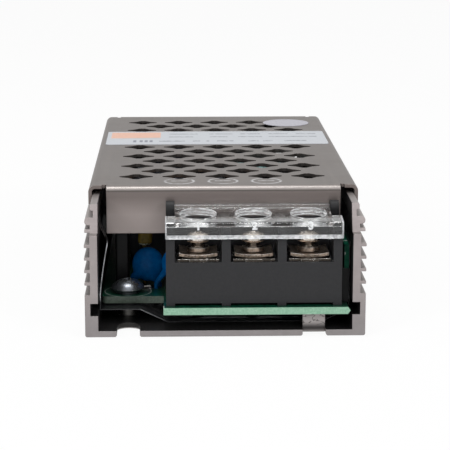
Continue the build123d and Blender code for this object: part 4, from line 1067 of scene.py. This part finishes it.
def whitish_edges(node, body, turned):
    """Thin slices of a clear cover where its moulded edges gather the light."""
    low, high = (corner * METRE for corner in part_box(node))
    outward = 1.0 if turned else -1.0
    face = high.y if turned else low.y
    cuts = {
        "left": [((low.x + SIDE_SLICE, 0, 0), (1, 0, 0))],
        "right": [((high.x - SIDE_SLICE, 0, 0), (-1, 0, 0))],
        "rim": [((0, 0, low.z + RIM_TALL), (0, 0, 1)),
                ((0, face - outward * RIM_DEEP, 0), (0, -outward, 0))],
    }
    for side, planes in cuts.items():
        shape = merged_copy(node)
        for point, direction in planes:
            sliced(shape, point, direction)
        bmesh.ops.translate(shape, vec=(0, outward * PROUD, PROUD), verts=shape.verts)
        new_piece(shape, f"{body}_{side}_edge", body, edge_white)


def numeral(text, middle, turned, body, name):
    """A raised numeral standing on the front of a clear cover."""
    words = bpy.data.curves.new(name + "_outline", "FONT")
    words.body = text
    words.align_x = "CENTER"
    words.align_y = "CENTER"
    words.size = NUMERAL_HEIGHT * 1.4
    words.extrude = NUMERAL_DEPTH / 2
    words.offset = NUMERAL_ROUND
    words.bevel_depth = NUMERAL_ROUND
    words.bevel_resolution = 1
    holder = bpy.data.objects.new(name + "_holder", words)
    scene.collection.objects.link(holder)
    bpy.context.view_layer.update()
    seen = holder.evaluated_get(bpy.context.evaluated_depsgraph_get())
    mesh = bpy.data.meshes.new_from_object(seen)
    bpy.data.objects.remove(holder)
    spin = Matrix.Rotation(radians(180.0 if turned else 0.0), 4, "Z")
    mesh.transform(Matrix.Translation(middle) @ spin @ Matrix.Rotation(radians(90.0), 4, "X"))
    piece = bpy.data.objects.new(name, mesh)
    scene.collection.objects.link(piece)
    mesh.materials.clear()
    mesh.materials.append(numeral_white)
    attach(piece, body)


for body, end, bore, turned in (("input_cover", "input", 4.16, False),
                                ("output_cover", "output", 3.02, True)):
    node = f"{end}_terminal_cover"
    low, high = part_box(node)
    bored_edges(end, body, bore, turned)
    whitish_edges(node, body, turned)
    front = high.y if turned else low.y
    order = reversed(terminal_places[end]) if turned else terminal_places[end]
    for number, (across, _, _) in enumerate(order, 1):
        numeral(str(number), Vector((across * MM, front, NUMERAL_MIDDLE)), turned, body,
                f"{body}_numeral_{number}")


# Solder beside the front screw

SOLDER_PLACE = (-16.9, -51.1, 0.0)
LEAD_MIDDLE, LEAD_TILT, LEAD_LENGTH = (-0.95, 0.0, 6.8), 84.0, 1.7
SOLDER_PROFILE = ((0.0, 7.15), (0.28, 7.1), (0.42, 6.85), (0.75, 6.6), (1.05, 6.48), (0.0, 6.47))


def solder_joint():
    """A small soldered peak with its lead bent over and lying on the board."""
    shape = lathe(SOLDER_PROFILE, 28)
    lead = Matrix.Translation(LEAD_MIDDLE) @ Matrix.Rotation(radians(LEAD_TILT), 4, "Y")
    bmesh.ops.create_cone(shape, cap_ends=True, segments=16, radius1=0.26, radius2=0.3,
                          depth=LEAD_LENGTH, matrix=lead)
    new_piece(repeated(shape, [SOLDER_PLACE], 0.0), "solder_joint",
              "supply", finishes["standoff_steel"])


solder_joint()


# Floor, background, lamps and camera

WHITE = (1.0, 1.0, 1.0, 1.0)
PAPER = (0.86, 0.86, 0.86, 1.0)
FLOOR_HALF, FLOOR_DROP, FLOOR_GLOW = 3.0, 0.0002, 0.93
SKY_STRENGTH = 0.46
LAMPS = (                # name, place, aim, size, power
    ("overhead", (-0.02, -0.05, 0.75), (0, -0.02, 0), 0.24, 1.8),
    ("front_left", (-0.6, -0.66, 0.5), (0, -0.05, 0.01), 0.3, 3.6),
    ("front_right", (0.6, -0.66, 0.5), (0, -0.05, 0.01), 0.3, 3.0),
)
PHOTO_PIXELS, FOCAL_PIXELS = 450.0, 1700.0
CAMERA_PLACE = (-0.01044826, -0.43311052, 0.10215985)
CAMERA_DIP, CAMERA_TURN = 11.963883, -1.628893


def seen_rays(tree):
    """Mask of what the lens sees: straight, in a glossy skin or through a clear piece."""
    ray = put(tree, "ShaderNodeLightPath").outputs
    seen = maths(tree, "MAXIMUM", ray["Is Camera Ray"], ray["Is Glossy Ray"])
    return maths(tree, "MAXIMUM", seen, ray["Is Transmission Ray"])


def lay_floor():
    """A pale floor that the camera sees as white with a faint shadow."""
    cloth = bmesh.new()
    bmesh.ops.create_grid(cloth, x_segments=1, y_segments=1, size=FLOOR_HALF)
    floor = held(cloth, "floor")
    floor.location.z = -FLOOR_DROP
    finish = bpy.data.materials.new("pale_floor")
    finish.use_nodes = True
    tree = finish.node_tree
    tree.nodes.clear()
    paper = put(tree, "ShaderNodeBsdfDiffuse", {"Color": PAPER})
    white = put(tree, "ShaderNodeEmission", {"Color": WHITE, "Strength": 1.0})
    both = put(tree, "ShaderNodeMixShader", {
        0: product(tree, seen_rays(tree), FLOOR_GLOW), 1: paper.outputs[0], 2: white.outputs[0]})
    put(tree, "ShaderNodeOutputMaterial", {"Surface": both.outputs[0]})
    floor.data.materials.append(finish)


def light_world():
    """White behind the object, and an even soft light on it."""
    world = bpy.data.worlds.new("studio")
    scene.world = world
    world.use_nodes = True
    tree = world.node_tree
    tree.nodes.clear()
    level = stretch(tree, seen_rays(tree), 0.0, 1.0, SKY_STRENGTH, 1.0)
    sky = put(tree, "ShaderNodeBackground", {"Color": WHITE, "Strength": level})
    put(tree, "ShaderNodeOutputWorld", {"Surface": sky.outputs[0]})


def hang_lamp(name, place, aim, size, power):
    """A square soft lamp aimed at a point."""
    lamp = bpy.data.lights.new(name, "AREA")
    lamp.size = size
    lamp.energy = power
    holder = bpy.data.objects.new(name, lamp)
    holder.location = place
    holder.rotation_euler = (Vector(aim) - Vector(place)).to_track_quat("-Z", "Y").to_euler()
    scene.collection.objects.link(holder)


lay_floor()
light_world()
for lamp in LAMPS:
    hang_lamp(*lamp)

lens = bpy.data.cameras.new("camera")
lens.sensor_width = 36.0
lens.lens = FOCAL_PIXELS / PHOTO_PIXELS * lens.sensor_width
lens.clip_start = 0.01
lens.clip_end = 20.0
camera = bpy.data.objects.new("camera", lens)
camera.location = CAMERA_PLACE
camera.rotation_euler = (radians(90.0 - CAMERA_DIP), 0.0, radians(CAMERA_TURN))
scene.collection.objects.link(camera)
scene.camera = camera
scene.view_settings.view_transform = "Standard"
